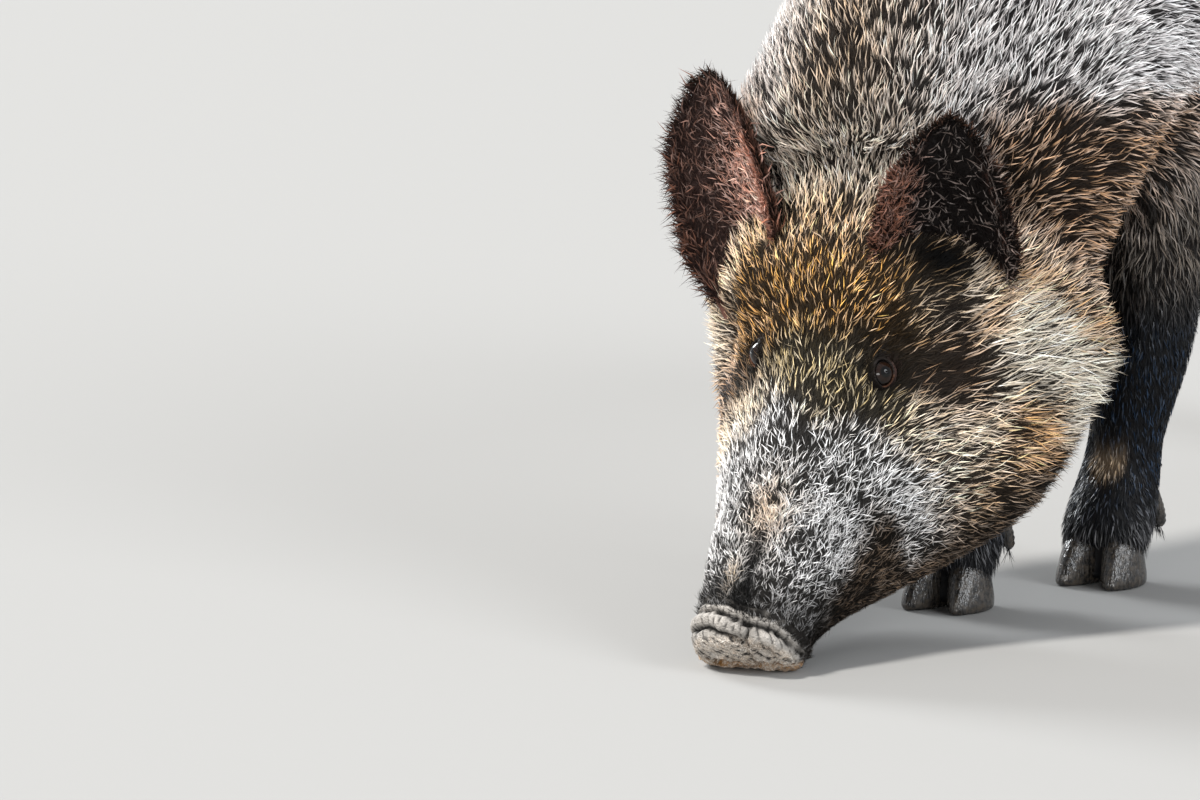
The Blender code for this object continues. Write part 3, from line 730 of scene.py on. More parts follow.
# %% Where they lie
patchy, blotch = ripple(points, 0.09, 5), ripple(points, 0.035, 6)
neck, trunk = share["neck"], share["trunk"]
at = a + 0.008 * patchy + 0.006 * blotch
face_side = off + 0.010 * patchy
neck_aside = np.abs(y + 0.018) + 0.01 * patchy
outer_jaw = fade(-0.145, -0.105, o + 0.25 * a - 0.045)
under_muzzle = fade(-0.070, -0.036, o + 0.006 * blotch) * fade(0.112, 0.132, at)
rust_below_eye = bump_at(at, 0.232, 0.016) * smoothstep(0.122, 0.136, face_side) * fade(-0.090, -0.066, o)
rust_behind_eye = smoothstep(0.268, 0.285, at) * fade(0.325, 0.345, at) * smoothstep(0.096, 0.116, face_side)
ruff_face = smoothstep(0.106, 0.126, face_side) * smoothstep(-0.118, -0.092, o)
BODY_MASKS = {
    "flank": np.ones_like(x),
    "back": smoothstep(0.50, 0.72, z + 0.10 * (x < -0.3) + 0.02 * patchy) * bump_at(y - 0.018, 0.0, 0.085),
    "belly": fade(0.33, 0.46, z + 0.015 * patchy) * trunk,
    "shoulder": smoothstep(-0.28, 0.12, x + 0.03 * patchy) * smoothstep(0.32, 0.52, z + 0.02 * patchy)
    * (neck + trunk),
    "neck": neck,
    "withers": neck * bump_at(y + 0.045 + 0.01 * patchy, 0.0, 0.070),
    "collar": neck * smoothstep(0.080, 0.115, neck_aside) * fade(0.37, 0.42, z + 0.01 * blotch),
    "nape": neck * bump_at(a, 0.385, 0.034) * bump_at(l, 0.005, 0.080),
}
FACE_MASKS = {
    "cheek": 1.0,
    "muzzle": fade(0.155, 0.205, at + 0.3 * off - 0.01),
    "olive": smoothstep(0.170, 0.196, at - 0.040 * fade(-0.045, -0.010, l)) * fade(0.070, 0.098, face_side),
    "forehead": smoothstep(0.226, 0.258, at) * fade(0.075, 0.100, face_side),
    "crown": smoothstep(0.305, 0.345, at),
    "jowl": smoothstep(0.120, 0.180, at) * fade(-0.115, -0.075, o) * smoothstep(0.050, 0.090, off),
    "rust": np.maximum(rust_below_eye, rust_behind_eye),
    "ruff": smoothstep(0.232, 0.252, at) * fade(0.296, 0.326, at)
    * np.maximum(ruff_face, smoothstep(0.150, 0.163, off)),
    "jaw": np.maximum(outer_jaw, under_muzzle),
}
dark_leg = (share["foreleg"] * fade(0.205, 0.280, z) + share["hindleg"] * fade(0.24, 0.37, z)
            + share["horn"] + 0.6 * share["tail"])
look = marked(BODY_MASKS | {name: head * mask for name, mask in FACE_MASKS.items()} | {"leg": dark_leg})
print("masks:", len(BODY_MASKS) + len(FACE_MASKS) + 1)

# %% [markdown]
# The large markings have small ones in them: a dark streak down the nose, the dark skin round the
# eye, a rosy fold at the ear.  Each is a spot on the head, at a place along it and across it,
# that either weakens some columns of the look or draws its tips towards a colour.

# %% Small marks: helpers
def weakened(columns, mask):
    """Columns of the look times 1 - mask."""
    look[:, columns] *= (1 - mask)[:, None]


def tinted(mask, colour, pale=0.0):
    """Tip colours drawn towards a colour by a mask, with more or fewer pale tufts there."""
    look[:, TIP] = drawn(look[:, TIP], mask, colour)
    look[:, PALE] += (mask * pale)[:, None]


def spot(place_a, place_l, wide_a, wide_l, across):
    """1 at a place on the head: a bell along the head times a bell across it."""
    return head * bump_at(a, place_a, wide_a) * bump_at(across, place_l, wide_l)


# %% Small marks: pale and dark patches of nose and muzzle
weakened(PALE, 0.60 * spot(0.150, 0.004, 0.016, 0.022, l))
weakened(PALE, 0.80 * spot(0.188, 0.024, 0.016, 0.040, l))
weakened(PALE, 0.30 * head * (bump_at(a, 0.150, 0.030) - bump_at(a, 0.085, 0.028)))
weakened(PALE, 0.6 * spot(0.345, 0.172, 0.030, 0.022, off))
right_face = head * smoothstep(0.02, 0.07, -l) * smoothstep(0.20, 0.24, a) * fade(0.26, 0.30, a)
more_pale = (
    0.08 * right_face
    + 0.12 * spot(0.086, 0.046, 0.024, 0.020, off)
    + 0.18 * spot(0.150, 0.082, 0.018, 0.016, off)
    + 0.15 * spot(0.205, -0.060, 0.026, 0.014, l)
)
look[:, PALE] += more_pale[:, None]
weakened(TIP, 0.75 * head * fade(0.025, 0.075, s + 0.35 * np.minimum(o + 0.010, 0)))
weakened(TIP, 0.80 * share["foreleg"] * smoothstep(0.175, 0.235, z))
print("mean pale share", round(float(look[:, PALE].mean()), 3))

# %% Small marks: streaks down the nose
top_of_nose = head * smoothstep(-0.030, -0.008, o)
tinted(top_of_nose * bump_at(l, 0.005, 0.018) * bump_at(a, 0.092, 0.030), (0.780, 0.600, 0.450), 0.04)
streak_wide = 0.0085 + 0.22 * np.clip(0.046 - a, 0, 0.030)
weakened(COLOURS, 0.96 * top_of_nose * bump_at(l, 0.0020, streak_wide) * fade(0.066, 0.082, a))
tinted(top_of_nose * bump_at(l, -0.0120, 0.0040) * bump_at(a, 0.040, 0.013), (0.620, 0.500, 0.370), 0.3)
weakened(COLOURS, 0.85 * top_of_nose * bump_at(l, -0.022, 0.006) * bump_at(a, 0.028, 0.012))
print("points in the streak:", int((top_of_nose * bump_at(l, 0.0020, streak_wide) > 0.5).sum()))

# %% Small marks: eyes, brows and ears' feet
round_eye = ((a - 0.232) / 0.022) ** 2 + ((off - 0.070) / 0.038) ** 2
tinted(0.93 * head * np.exp(-(round_eye**1.5)), (0.160, 0.100, 0.068), -0.10)
tinted(0.85 * spot(0.252, 0.100, 0.028, 0.018, off), (0.560, 0.340, 0.210), -0.18)
weakened(PALE_TIPS, 0.60 * (spot(0.276, 0.092, 0.012, 0.018, off) + spot(0.296, 0.080, 0.013, 0.024, off)))
# Painted shade: the pocket behind the left ear's foot, where the ear shades the head, is darkened almost to
# black.
weakened(ALL, 0.97 * np.minimum(1.4 * spot(0.323, 0.084, 0.020, 0.028, l), 1))
tinted(0.80 * spot(0.345, 0.044, 0.026, 0.014, l), (0.440, 0.260, 0.200), -0.04)
tinted(spot(0.306, 0.114, 0.009, 0.012, off), (0.900, 0.740, 0.560), 0.20)
weakened(PALE_TIPS, 0.45 * spot(0.256, 0.140, 0.012, 0.014, off))
weakened(PALE_TIPS, 0.60 * spot(0.250, 0.114, 0.010, 0.008, off))
print("mean tip colour of the head", np.round(look[head > 0.5, TIP].mean(axis=0), 3))

# %% Small marks: wrist and fetlocks
carpus = share["foreleg"] * bump_at(z, 0.099, 0.012) * smoothstep(0.82, 0.95, normals[:, 0]) * (y > 0.02)
tinted(carpus, (0.560, 0.420, 0.280), 0.7)
look[:, UNDER] += carpus[:, None] * (0.13, 0.09, 0.055)
tinted(0.8 * (legs + share["horn"]) * fetlock, (0.130, 0.125, 0.125), 0.05)
weakened(PALE, -0.30 * blotch)
print("mean tip colour", np.round(look[:, TIP].mean(axis=0), 3))

# %% [markdown]
# ## The skin's colour and its painted shade
# Where the coat is thick, the skin only shows as dark gaps between the tufts, so there it takes the
# under-colour of the look.  On the disc it shows in full: leathery grey-brown, wrinkled, with dried mud.
# Its creases, the grooves across its rolls, the disc's pits and the nostrils are darkened as painted shade.

# %% Snout and disc
LEATHER, MUD, OCHRE_MUD = (0.440, 0.410, 0.375), (0.860, 0.690, 0.540), (0.480, 0.250, 0.090)
WET, LID_RED, LID_ROSY = (0.007, 0.005, 0.004), (0.150, 0.062, 0.030), (0.110, 0.060, 0.050)
bare_edge = fold + 0.0030 * ripple(points, 0.011, 8) + 0.008 * flank_side
snout_bare = head * fade(0.020, 0.032, bare_edge)
skin_colour = drawn(look[:, UNDER] + 0.04 * look[:, PALE] * look[:, TIP], snout_bare, LEATHER)
# Painted shade in the creases, in the grooves across the rolls and in the disc's pits; the third mask is the
# hide's own mottling.
SHADE_AND_MOTTLE = (
    0.92 * np.clip(-relief / 0.0020, 0, 1) * head * fade(0.05, 0.07, s),  # in the creases
    0.80 * smoothstep(0.30, 0.95, across_roll) * snout_bare * (1 - on_disc),  # lines across the rolls
    0.35 * snout_bare * smoothstep(0.0, 0.9, wander + 0.6 * pits),
    0.90 * on_disc * smoothstep(0.10, 0.70, -pits),  # in the disc's pits
)
for mask in SHADE_AND_MOTTLE:
    skin_colour *= (1 - mask)[:, None]
mud = on_disc * np.clip(0.80 + 0.35 * ripple(points, 0.018, 9), 0, 1) * fade(0.10, 0.75, -pits)
print("bare points of the snout:", int((snout_bare > 0.5).sum()))

# %% Round the eyes, in the nostrils and at the lower rim
seen = [eye_place(skin_points, word) for word in EYES]
eye_rim = np.minimum(*[np.where(out > -0.006, edge, 9.0) for _, _, out, edge in seen])
skin_colour = drawn(skin_colour, head * fade(1.3, 2.2, eye_rim), WET)
for back, up, out, edge in seen:
    near = (out > -0.004) * (edge > 0.9)
    lower = smoothstep(0.0050, 0.0072, -0.7 * (up + back)) * bump_at(edge, 1.05, 0.05)
    skin_colour = drawn(skin_colour, 0.8 * near * lower, LID_RED)
    rosy = smoothstep(1.05, 1.15, edge) * bump_at(back, 0.003, 0.0090) * bump_at(up, -0.0125, 0.0055)
    skin_colour = drawn(skin_colour, 0.9 * near * rosy, LID_ROSY)
# Painted shade: the insides of the nostrils are darkened for the shade in these deep holes.
hole = np.minimum(nostril(1, 0.0), nostril(-1, 0.0))
skin_colour *= (1 - 0.9 * on_disc * fade(0.7, 1.1, hole))[:, None]
rim_below = head * fade(0.008, 0.016, s) * fade(0.005, 0.011, z + 0.002 * wander)
skin_colour = drawn(skin_colour, 0.8 * rim_below, OCHRE_MUD)
print("mean colour of the disc", np.round(skin_colour[on_disc > 0.5].mean(axis=0), 3))

# %% [markdown]
# ## The skin object
# The ears' meshes are added to the skin's, which they grow out of.  The skin gets two painted
# attributes: its colour, and in the channels of a second one how bare and how muddy it is.

# %% Skin piece
BACK_OF_EAR, EAR_RIM = (0.020, 0.013, 0.010), (0.130, 0.060, 0.044)
# Painted shade and light: the left ear's hollow is painted near black for the shadow in it, the right one's
# lighter for the light in it.
EAR_HOLLOW = {1: (0.0025, 0.0015, 0.0015), -1: (0.046, 0.024, 0.020)}
LOWEST = 0.0004  # just above the floor

bare = np.maximum(snout_bare, head * fade(1.6, 2.4, eye_rim))
skin_parts = [(skin_points, triangles, skin_colour, bare, mud)]
start = len(skin_points)
for left, (ear_points, index, highs, acrosses, is_inner) in ear_meshes.items():
    rim = smoothstep(0.75, 0.98, np.abs(acrosses)) * fade(0.6, 0.95, highs)
    colour = drawn(np.where(is_inner[:, None], EAR_HOLLOW[left], BACK_OF_EAR), rim, EAR_RIM)
    skin_parts.append((ear_points, index + start, colour, 0.5 * is_inner, 0 * rim))
    start += len(ear_points)
skin_vertices, skin_triangles, skin_colours, bare, mud = map(np.concatenate, zip(*skin_parts))
skin_vertices[:, 2] = np.maximum(skin_vertices[:, 2], LOWEST)
skin = new_piece("skin", skin_vertices, skin_triangles)
paint(skin, "hide", np.clip(skin_colours, 0.001, 1))
paint(skin, "bare_mud", np.column_stack([bare, mud, np.zeros(start)]))
flesh = [name for part, names in PARTS.items() if part != "horn" for name in names] + list(EARS)
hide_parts(*flesh)
print("skin triangles:", len(skin.data.polygons))

# %% [markdown]
# ## Eyes
# A boar's eye is small, dark and wet.  A plain sphere would look like a bead, because the cornea of a
# real eye stands a little out of the round.  So the ball is a surface of two angles, from the pupil's
# middle outwards and round it.  Pupil, iris and white are rings of colour on it.

# %% Eyeballs
BALL_ROWS, BALL_COLUMNS = 40, 48
CORNEA_HEIGHT, CORNEA_WIDE, SPOKES = 0.050, 0.50, 23
PUPIL_TO, IRIS_TO, DARK_TO = 0.34, 0.72, 1.05  # angles where the rings end, in radians
PUPIL, IRIS, DARK_RING, WHITE = ((0.001, 0.001, 0.001), np.array((0.011, 0.005, 0.003)),
                                 (0.002, 0.0015, 0.0015), (0.012, 0.007, 0.006))


def eyeball(word):
    """A ball: its points lie out from the middle by radius * (1 + height * bell of the angle)."""
    centre, back_way, up_way, out_way = EYES[word]
    tilts, turns = np.linspace(0.0, pi, BALL_ROWS), np.linspace(0.0, 2 * pi, BALL_COLUMNS, endpoint=False)
    tilt, turn = np.meshgrid(tilts, turns, indexing="ij")
    far = BALL * (1 + CORNEA_HEIGHT * bump_at(tilt, 0.0, CORNEA_WIDE))
    places = carried(centre, (far * np.sin(tilt) * np.cos(turn), back_way),
                     (far * np.sin(tilt) * np.sin(turn), up_way), (far * np.cos(tilt), out_way))
    index = grid_triangles(BALL_ROWS, BALL_COLUMNS, closed=True)
    if np.dot(np.cross(back_way, up_way), out_way) > 0:
        index = index[:, ::-1]
    piece = new_piece("eyeball_" + word, places.reshape(-1, 3), index)
    angle = tilt.ravel()[:, None]
    spokes = (0.5 + 0.5 * np.sin(turn * SPOKES + np.sin(turn * 7))).ravel()[:, None]
    colour = np.where(angle < PUPIL_TO, PUPIL, IRIS * (0.5 + 1.0 * spokes))
    colour = np.where(angle > IRIS_TO, DARK_RING, colour)
    colour = np.where(angle > DARK_TO, WHITE, colour)
    paint(piece, "eye_colour", colour)
    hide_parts("eye_" + word)
    return piece


eyeballs = [eyeball(word) for word in EYES]
print("eyeballs:", [piece.name for piece in eyeballs])

# %% [markdown]
# ## Hooves and dewclaws
# Each toe ends in a case of horn: flat below, with a wall that leans back and a crown that goes up into
# the hair.  It could be cut from a block, but rings are simpler: its outline is an oval that is
# narrower in front, drawn in, narrowed and moved back level by level.

# %% Hooves
HOOF_HEIGHT, HOOF_FRONT, HOOF_REAR, HOOF_HALF = 0.0455, 0.0338, 0.0276, 0.0168
HOOF_MIDDLE, HOOF_SOLID, HOOF_TURN = 0.0279, 0.062, radians(5.0)  # middle at 27.9 of a solid's 62 mm
HOOF_LEVELS = (0.0, 0.0, 0.0, 0.015, 0.055, 0.11, 0.18, 0.27, 0.37, 0.48, 0.60, 0.72, 0.83, 0.92, 0.985, 1.0)
HOOF_SIZES = (0.0, 0.50, 0.84, 0.935, 0.985, 1.0, 1.0, 1.0, 1.0, 1.0, 1.0, 0.99, 0.96, 0.89, 0.68, 0.0)
HOOF_COLUMNS = 40


def horn_piece(node, places, index):
    """A piece of horn that stands for the solid of one hoof or dewclaw."""
    piece = new_piece("horn_" + node, places.reshape(-1, 3), index)
    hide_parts(node)
    return piece


def hoof(node, turn_out):
    """Rings from the middle of the sole, round its edge, up the wall and over the crown.  A ring's point
    is size * (front or rear * cos turn, half width * sin turn), and the rings lean inwards."""
    low, high = [np.array(corner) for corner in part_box(node)]
    middle_x = low[0] + HOOF_MIDDLE * (high[0] - low[0]) / HOOF_SOLID
    start = np.array((middle_x, (low[1] + high[1]) / 2, 0.0))
    tilt_out = HOOF_TURN * turn_out
    long_way = np.array((cos(tilt_out), sin(tilt_out), 0.0))
    wide_way = np.array((-sin(tilt_out), cos(tilt_out), 0.0))
    level, size = np.array(HOOF_LEVELS)[:, None], np.array(HOOF_SIZES)[:, None]
    turn = np.linspace(0.0, 2 * pi, HOOF_COLUMNS, endpoint=False)[None, :]
    fore, aside = np.cos(turn), np.sin(turn)
    front = HOOF_FRONT * (1.0 - 0.66 * level**1.05 + 0.07 * np.sin(level * pi))
    rear = HOOF_REAR * (1.0 - 0.12 * level - 0.16 * level**2)
    wide = HOOF_HALF * (1.0 + 0.05 * np.sin(level * pi) - 0.30 * level**1.6)
    ringed = size * (1 + 0.008 * np.sin(level * 46) * smoothstep(0.05, 0.2, level))
    along = ringed * np.where(fore > 0, fore * front, fore * rear)
    across = ringed * wide * aside * (1 - 0.30 * np.clip(fore, 0, 1) ** 2)
    lean = -0.0035 * level**1.5 * turn_out
    upright = HOOF_HEIGHT * level + LOWEST + 0 * turn
    places = carried(start, (along, long_way), (across + lean, wide_way), (upright, (0.0, 0.0, 1.0)))
    return horn_piece(node, places, grid_triangles(len(HOOF_LEVELS), HOOF_COLUMNS, closed=True))


# %% Dewclaws
DEWCLAW_LENGTH, DEWCLAW_RADIUS, DEWCLAW_ROWS, DEWCLAW_COLUMNS = 0.031, 0.0088, 14, 24


def dewclaw(node, turn_out):
    """Rings from the root down to a blunt point: radius * the square root of 1 - share down cubed."""
    low, high = [np.array(corner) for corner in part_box(node)]
    top = np.array((high[0] - 0.008, (low[1] + high[1]) / 2, high[2]))
    down_way = np.array((-0.34, 0.18 * turn_out, -0.92))
    share_down = np.linspace(0.0, 1.0, DEWCLAW_ROWS)[:, None]
    turn = np.linspace(0.0, 2 * pi, DEWCLAW_COLUMNS, endpoint=False)[None, :]
    ringed = 0.9 + 0.1 * np.sin(share_down * 40)
    radius = DEWCLAW_RADIUS * np.sqrt(np.clip(1.0 - share_down**3, 0, 1)) * ringed
    places = carried(top, (DEWCLAW_LENGTH * share_down + 0 * turn, down_way),
                     (radius * np.cos(turn), (1.0, 0.0, -0.3)),
                     (0.85 * radius * np.sin(turn), (0.0, 1.0, 0.0)))
    return horn_piece(node, places, grid_triangles(DEWCLAW_ROWS, DEWCLAW_COLUMNS, closed=True)[:, ::-1])


horns = []
for node in PARTS["horn"]:
    turn_out = 1 if ("outer" in node) == ("left" in node) else -1
    horns.append(hoof(node, turn_out) if node.startswith("hoof") else dewclaw(node, turn_out))
print("horn pieces:", len(horns))

# %% [markdown]
# ## The coat
# Boar hair is stiff and stands in loose locks.  Blender's hair curves would be quick, but they are lost
# when the model leaves Blender.  So a tuft is a thin tapered blade of three triangles: it starts in the
# skin, rises a little and then lies along the body.  Tens of thousands of them make one piece, all
# worked out at once with arrays.

# %% Tufts: which way they lie
CLUMPS = ((0.016, 21, 0.16), (0.034, 22, 0.12), (0.007, 23, 0.20))  # length of the waves, seed, how much
LOCKS = ((0.0055, 26, 0.9), (0.012, 24, 0.6), (0.026, 25, 0.3))


def waves(roots, sizes):
    """The sum of how much * ripple over the sizes."""
    return sum(much * ripple(roots, size, seed) for size, seed, much in sizes)


def turned(v, axis, angle):
    """Vectors turned about unit axes at right angles to them: v cos angle + axis x v sin angle."""
    return v * np.cos(angle)[:, None] + np.cross(axis, v) * np.sin(angle)[:, None]


def lie(roots, out, way, untidy, rng):
    """Each tuft's way along the skin, turned by the clumps and by chance, and its blade's flat side,
    twisted by chance."""
    way = unit(way - out * np.sum(way * out, axis=1, keepdims=True))
    way = turned(way, out, waves(roots, CLUMPS) + untidy * rng.normal(0, 1.0, len(roots)))
    return way, turned(np.cross(out, way), way, rng.normal(0, 0.50, len(roots)))


# %% Tufts: their blades
T = np.array((0.0, 0.5, 1.0))  # how far along a tuft its points are
TAPER = np.array((0.65, 1.0, 0.0))  # its share of the full width there
STRIP = np.array([(0, 1, 3), (0, 3, 2), (2, 3, 4)])
ROOTED, TUFT_FLOOR = 0.0010, 0.0006  # depth of the roots in the skin, and least height over the floor


def blades(roots, out, way, across, build, pale, rng):
    """Five points for each tuft, two at the root, two half way and one at the tip, and its middle line.
    At t the line is at root + way * length * t + out * rise * (1 - (1 - t) squared)
    + sideways * bend * t * (t - 0.35)."""
    length, width, rise, _, curl = build.T
    count = len(roots)
    length = length * rng.uniform(0.60, 1.25, count)
    rise = rise * (rng.uniform(0.15, 0.75, count) + 0.35 * pale)
    bend = curl * rng.normal(0, 1.0, count) * length
    line = (roots - out * ROOTED)[:, None, :] + way[:, None, :] * (length[:, None] * T)[..., None]
    line = line + out[:, None, :] * ((rise + ROOTED)[:, None] * (1 - (1 - T) ** 2))[..., None]
    line = line + np.cross(out, way)[:, None, :] * (bend[:, None] * T * (T - 0.35))[..., None]
    half_width = width * (0.8 + 0.5 * pale) * rng.uniform(0.7, 1.25, count) / 2
    half = half_width[:, None, None] * TAPER[None, :, None] * across[:, None, :]
    pairs = np.stack([line[:, :-1] - half[:, :-1], line[:, :-1] + half[:, :-1]], axis=2)
    places = np.concatenate([pairs.reshape(count, 4, 3), line[:, -1:]], axis=1)
    places[..., 2] = np.maximum(places[..., 2], TUFT_FLOOR)
    return places, line


def clear_of_eyes(line):
    """True for tufts whose middle and tip don't lie over an eye's opening."""
    clear = np.ones(len(line), bool)
    for word in EYES:
        for k in (1, 2):
            _, _, ahead, edge = eye_place(line[:, k], word)
            clear &= ~((edge < 1.12) & (np.abs(ahead) < 0.03))
    return clear


# %% Tufts: their colours and their map
PATCH = np.array(((-0.5, -0.5), (-0.5, 0.5), (0.0, -0.5), (0.0, 0.5), (0.5, 0.0))) * 0.003


def tuft_colours(look, pale, locks, rng):
    """Five colours for each tuft: the under-colour at the root, and towards the tip the look's tip colour
    on a pale tuft or a little more than the under-colour on a dark one, each shaded by lock and chance."""
    shade = (rng.uniform(0.30, 1.30, len(look)) * (1 + 0.20 * locks))[:, None]
    lit = look[:, TIP] * shade
    tip = np.where(pale[:, None], lit, look[:, UNDER] * 1.5 + 0.03 * lit)
    tip = drawn(tip, rng.uniform(-0.30, 0.35, len(look)), tip.mean(axis=1, keepdims=True))
    mixing = smoothstep(0.05, 0.62, T)[[0, 0, 1, 1, 2]][None, :, None]
    return look[:, None, UNDER] * (1 - mixing) + tip[:, None, :] * mixing


def unrolled(places, axis, reach):
    """Angle round the middle and distance along an axis, both brought between 0.01 and 0.99."""
    axis = unit(np.array(axis, float))
    first = unit(np.cross(axis, (0.31, 0.87, 0.12)))
    second = np.cross(axis, first)
    offset = places - places.mean(axis=0)
    angle = np.arctan2(offset @ second, offset @ first) / (2 * pi) + 0.5
    height = np.clip((offset @ axis) / reach + 0.5, 0, 1)
    return np.column_stack([angle, height]) * 0.98 + 0.01


def coat_piece(name, roots, out, way, build, look, map_places, rng):
    """One mesh of tufts, with a colour at each point, and a small patch for each tuft in a map named
    OFBake.  build holds each tuft's length, width, rise, untidiness and curl."""
    way, across = lie(roots, out, way, build[:, 3], rng)
    locks = waves(roots, LOCKS)
    pale = rng.random(len(roots)) < look[:, 6] * np.clip(1 + 0.80 * locks, 0.10, 2.4)
    places, line = blades(roots, out, way, across, build, pale, rng)
    clear = clear_of_eyes(line)
    places, look, map_places = places[clear], look[clear], map_places[clear]
    index = (np.arange(len(places))[:, None, None] * 5 + STRIP[None]).reshape(-1, 3)
    colour = tuft_colours(look, pale[clear], locks[clear], rng)

    piece = new_piece(name, places.reshape(-1, 3), index)
    paint(piece, "hair_colour", np.clip(colour.reshape(-1, 3), 0.001, 1.0))
    uv = (map_places[:, None, :] + PATCH[None]).reshape(-1, 2)[index.ravel()]
    layer = piece.data.uv_layers.new(name="OFBake")
    layer.data.foreach_set("uv", uv.astype(np.float32).ravel())
    print(f"{name}: {len(places)} tufts, {len(index)} triangles")
    return piece


# %% [markdown]
# The coat is grown in pieces, so that none is too heavy to handle.  Each has its own number of tufts:
# many fine ones on the head, which is seen most closely, and fewer broad ones towards the tail.

# %% Bare places, width, untidiness and curl
hair_free = np.maximum(head * fade(0.016, 0.028, bare_edge), head * fade(1.2, 1.6, eye_rim))
hair_free = np.maximum(hair_free, (share["horn"] > 0.5) * (z < 0.034))
width = (
    head * (0.00052 + 0.00010 * smoothstep(0.05, 0.20, a) + 0.00014 * jowl)
    + share["neck"] * 0.00078
    + share["trunk"] * (0.00090 + 0.00090 * fade(-0.25, 0.05, x))
    + (share["foreleg"] + share["horn"]) * 0.00075
    + share["hindleg"] * 0.00150
    + share["tail"] * 0.00180
)
rough_muzzle = head * fade(0.10, 0.20, a)
untidy = 0.20 + 0.22 * rough_muzzle + 0.10 * head * (1 - cheek) - 0.10 * legs * (1 - upper_leg)
curl = 0.12 + 0.35 * rough_muzzle
builds = np.column_stack([length, width, depth, untidy, curl])
print("mean tuft: length", round(length.mean() * 1000, 1), "mm, width", round(width.mean() * 1000, 2), "mm")

# %% Grow the coat of head, body and legs
SHOULDER_AT, RUMP_AT, MUZZLE_TO, FACE_TO = -0.02, -0.32, 0.150, 0.262
COATS = {  # mask, number of tufts, axis of the unrolled map
    "coat_muzzle": (head * (a < MUZZLE_TO), 65000, -ALONG),
    "coat_face": (head * (a >= MUZZLE_TO) * (a < FACE_TO), 65000, -ALONG),
    "coat_cheeks": (head * (a >= FACE_TO), 60000, -ALONG),
    "coat_neck": (neck, 65000, (-0.7, 0.0, 0.7)),
    "coat_shoulder": (trunk * (x >= SHOULDER_AT), 50000, (1, 0, 0)),
    "coat_flanks": (trunk * (x < SHOULDER_AT) * (x >= RUMP_AT), 36000, (1, 0, 0)),
    "coat_rump": (trunk * (x < RUMP_AT), 36000, (1, 0, 0)),
    "coat_forelegs": (share["foreleg"] + share["horn"] * (x > 0), 44000, (0, 0, 1)),
    "coat_hindlegs": (share["hindleg"] + share["horn"] * (x <= 0), 30000, (0, 0, 1)),
    "coat_tail": (share["tail"], 5000, (0, 0, 1)),
}
LEAST_SHARE, MAP_MARGIN = 0.08, 1.1

normals_skin = normals_of(skin_points, triangles)
coat = []
for number, (name, (mask, count, axis)) in enumerate(COATS.items()):
    rng = np.random.default_rng(100 + number)
    mask = np.where(mask > LEAST_SHARE, mask, 0.0)
    face_weight = (mask * (1 - hair_free))[triangles].mean(axis=1)
    places = scattered(skin_points, triangles, int(count * FEW), face_weight, rng)
    roots, out, way_there, build, look_there = [
        at_places(values, triangles, places) for values in (skin_points, normals_skin, way, builds, look)]
    map_places = unrolled(roots, axis, np.ptp(roots, axis=0).max() * MAP_MARGIN)
    coat.append(coat_piece(name, roots, unit(out), way_there, build, look_there, map_places, rng))

# %% [markdown]
# ## Hair on the ears
# The backs of the ears have short dark hair that lies towards the tip, and the rims have a reddish fringe.
# In the hollows longer hairs cross each other.  The right ear's hollow is lit, and so its hairs are
# rosy and many; the left ear's is in its own shadow.

# %% Ear hair
BACK_UNDER, BACK_TIP, REDDISH = (0.010, 0.007, 0.005), (0.180, 0.100, 0.072), (0.360, 0.180, 0.130)
# The hollows' colours hold painted shade in the left ear and painted light in the right one.
HOLLOW_UNDER = {1: (0.003, 0.002, 0.002), -1: (0.016, 0.009, 0.008)}
HOLLOW_TIP = {1: (0.190, 0.155, 0.140), -1: (0.520, 0.310, 0.250)}
EAR_TUFTS, EAR_HAIR_WIDTH, EAR_MAP_REACH = 22000, 0.0009, 0.22


def ear_look(left, high, across, inside, edge):
    """Under-colour, tip colour and pale share of ear hair: dark, reddish on rim and fold, lit or shaded
    in the hollow."""
    within = inside[:, None] > 0.5
    under_colour = np.where(within, HOLLOW_UNDER[left], BACK_UNDER)
    tip_colour = np.where(within, HOLLOW_TIP[left], BACK_TIP)
    fold_side = smoothstep(0.35, 0.75, -across) * inside * (left == 1)
    red_rim = edge * (1 - 0.9 * (across > 0) * (left == 1))
    reddish = np.maximum(red_rim, fold_side) * fade(0.60, 0.90, high)
    tip_colour = drawn(tip_colour, reddish, REDDISH)
    pale = 0.12 + 0.40 * reddish + 0.15 * (1 - inside)
    # Painted light: a pool of light in the right ear's hollow brightens its tips up to twice.
    if left == -1:
        lit = inside * smoothstep(-0.60, 0.30, across) * bump_at(high, 0.42, 0.34)
        tip_colour = tip_colour * (0.45 + 1.55 * lit)[:, None]
        pale = pale * (1 - inside) + inside * (0.18 + 0.62 * lit)
    return np.column_stack([under_colour, tip_colour, pale])


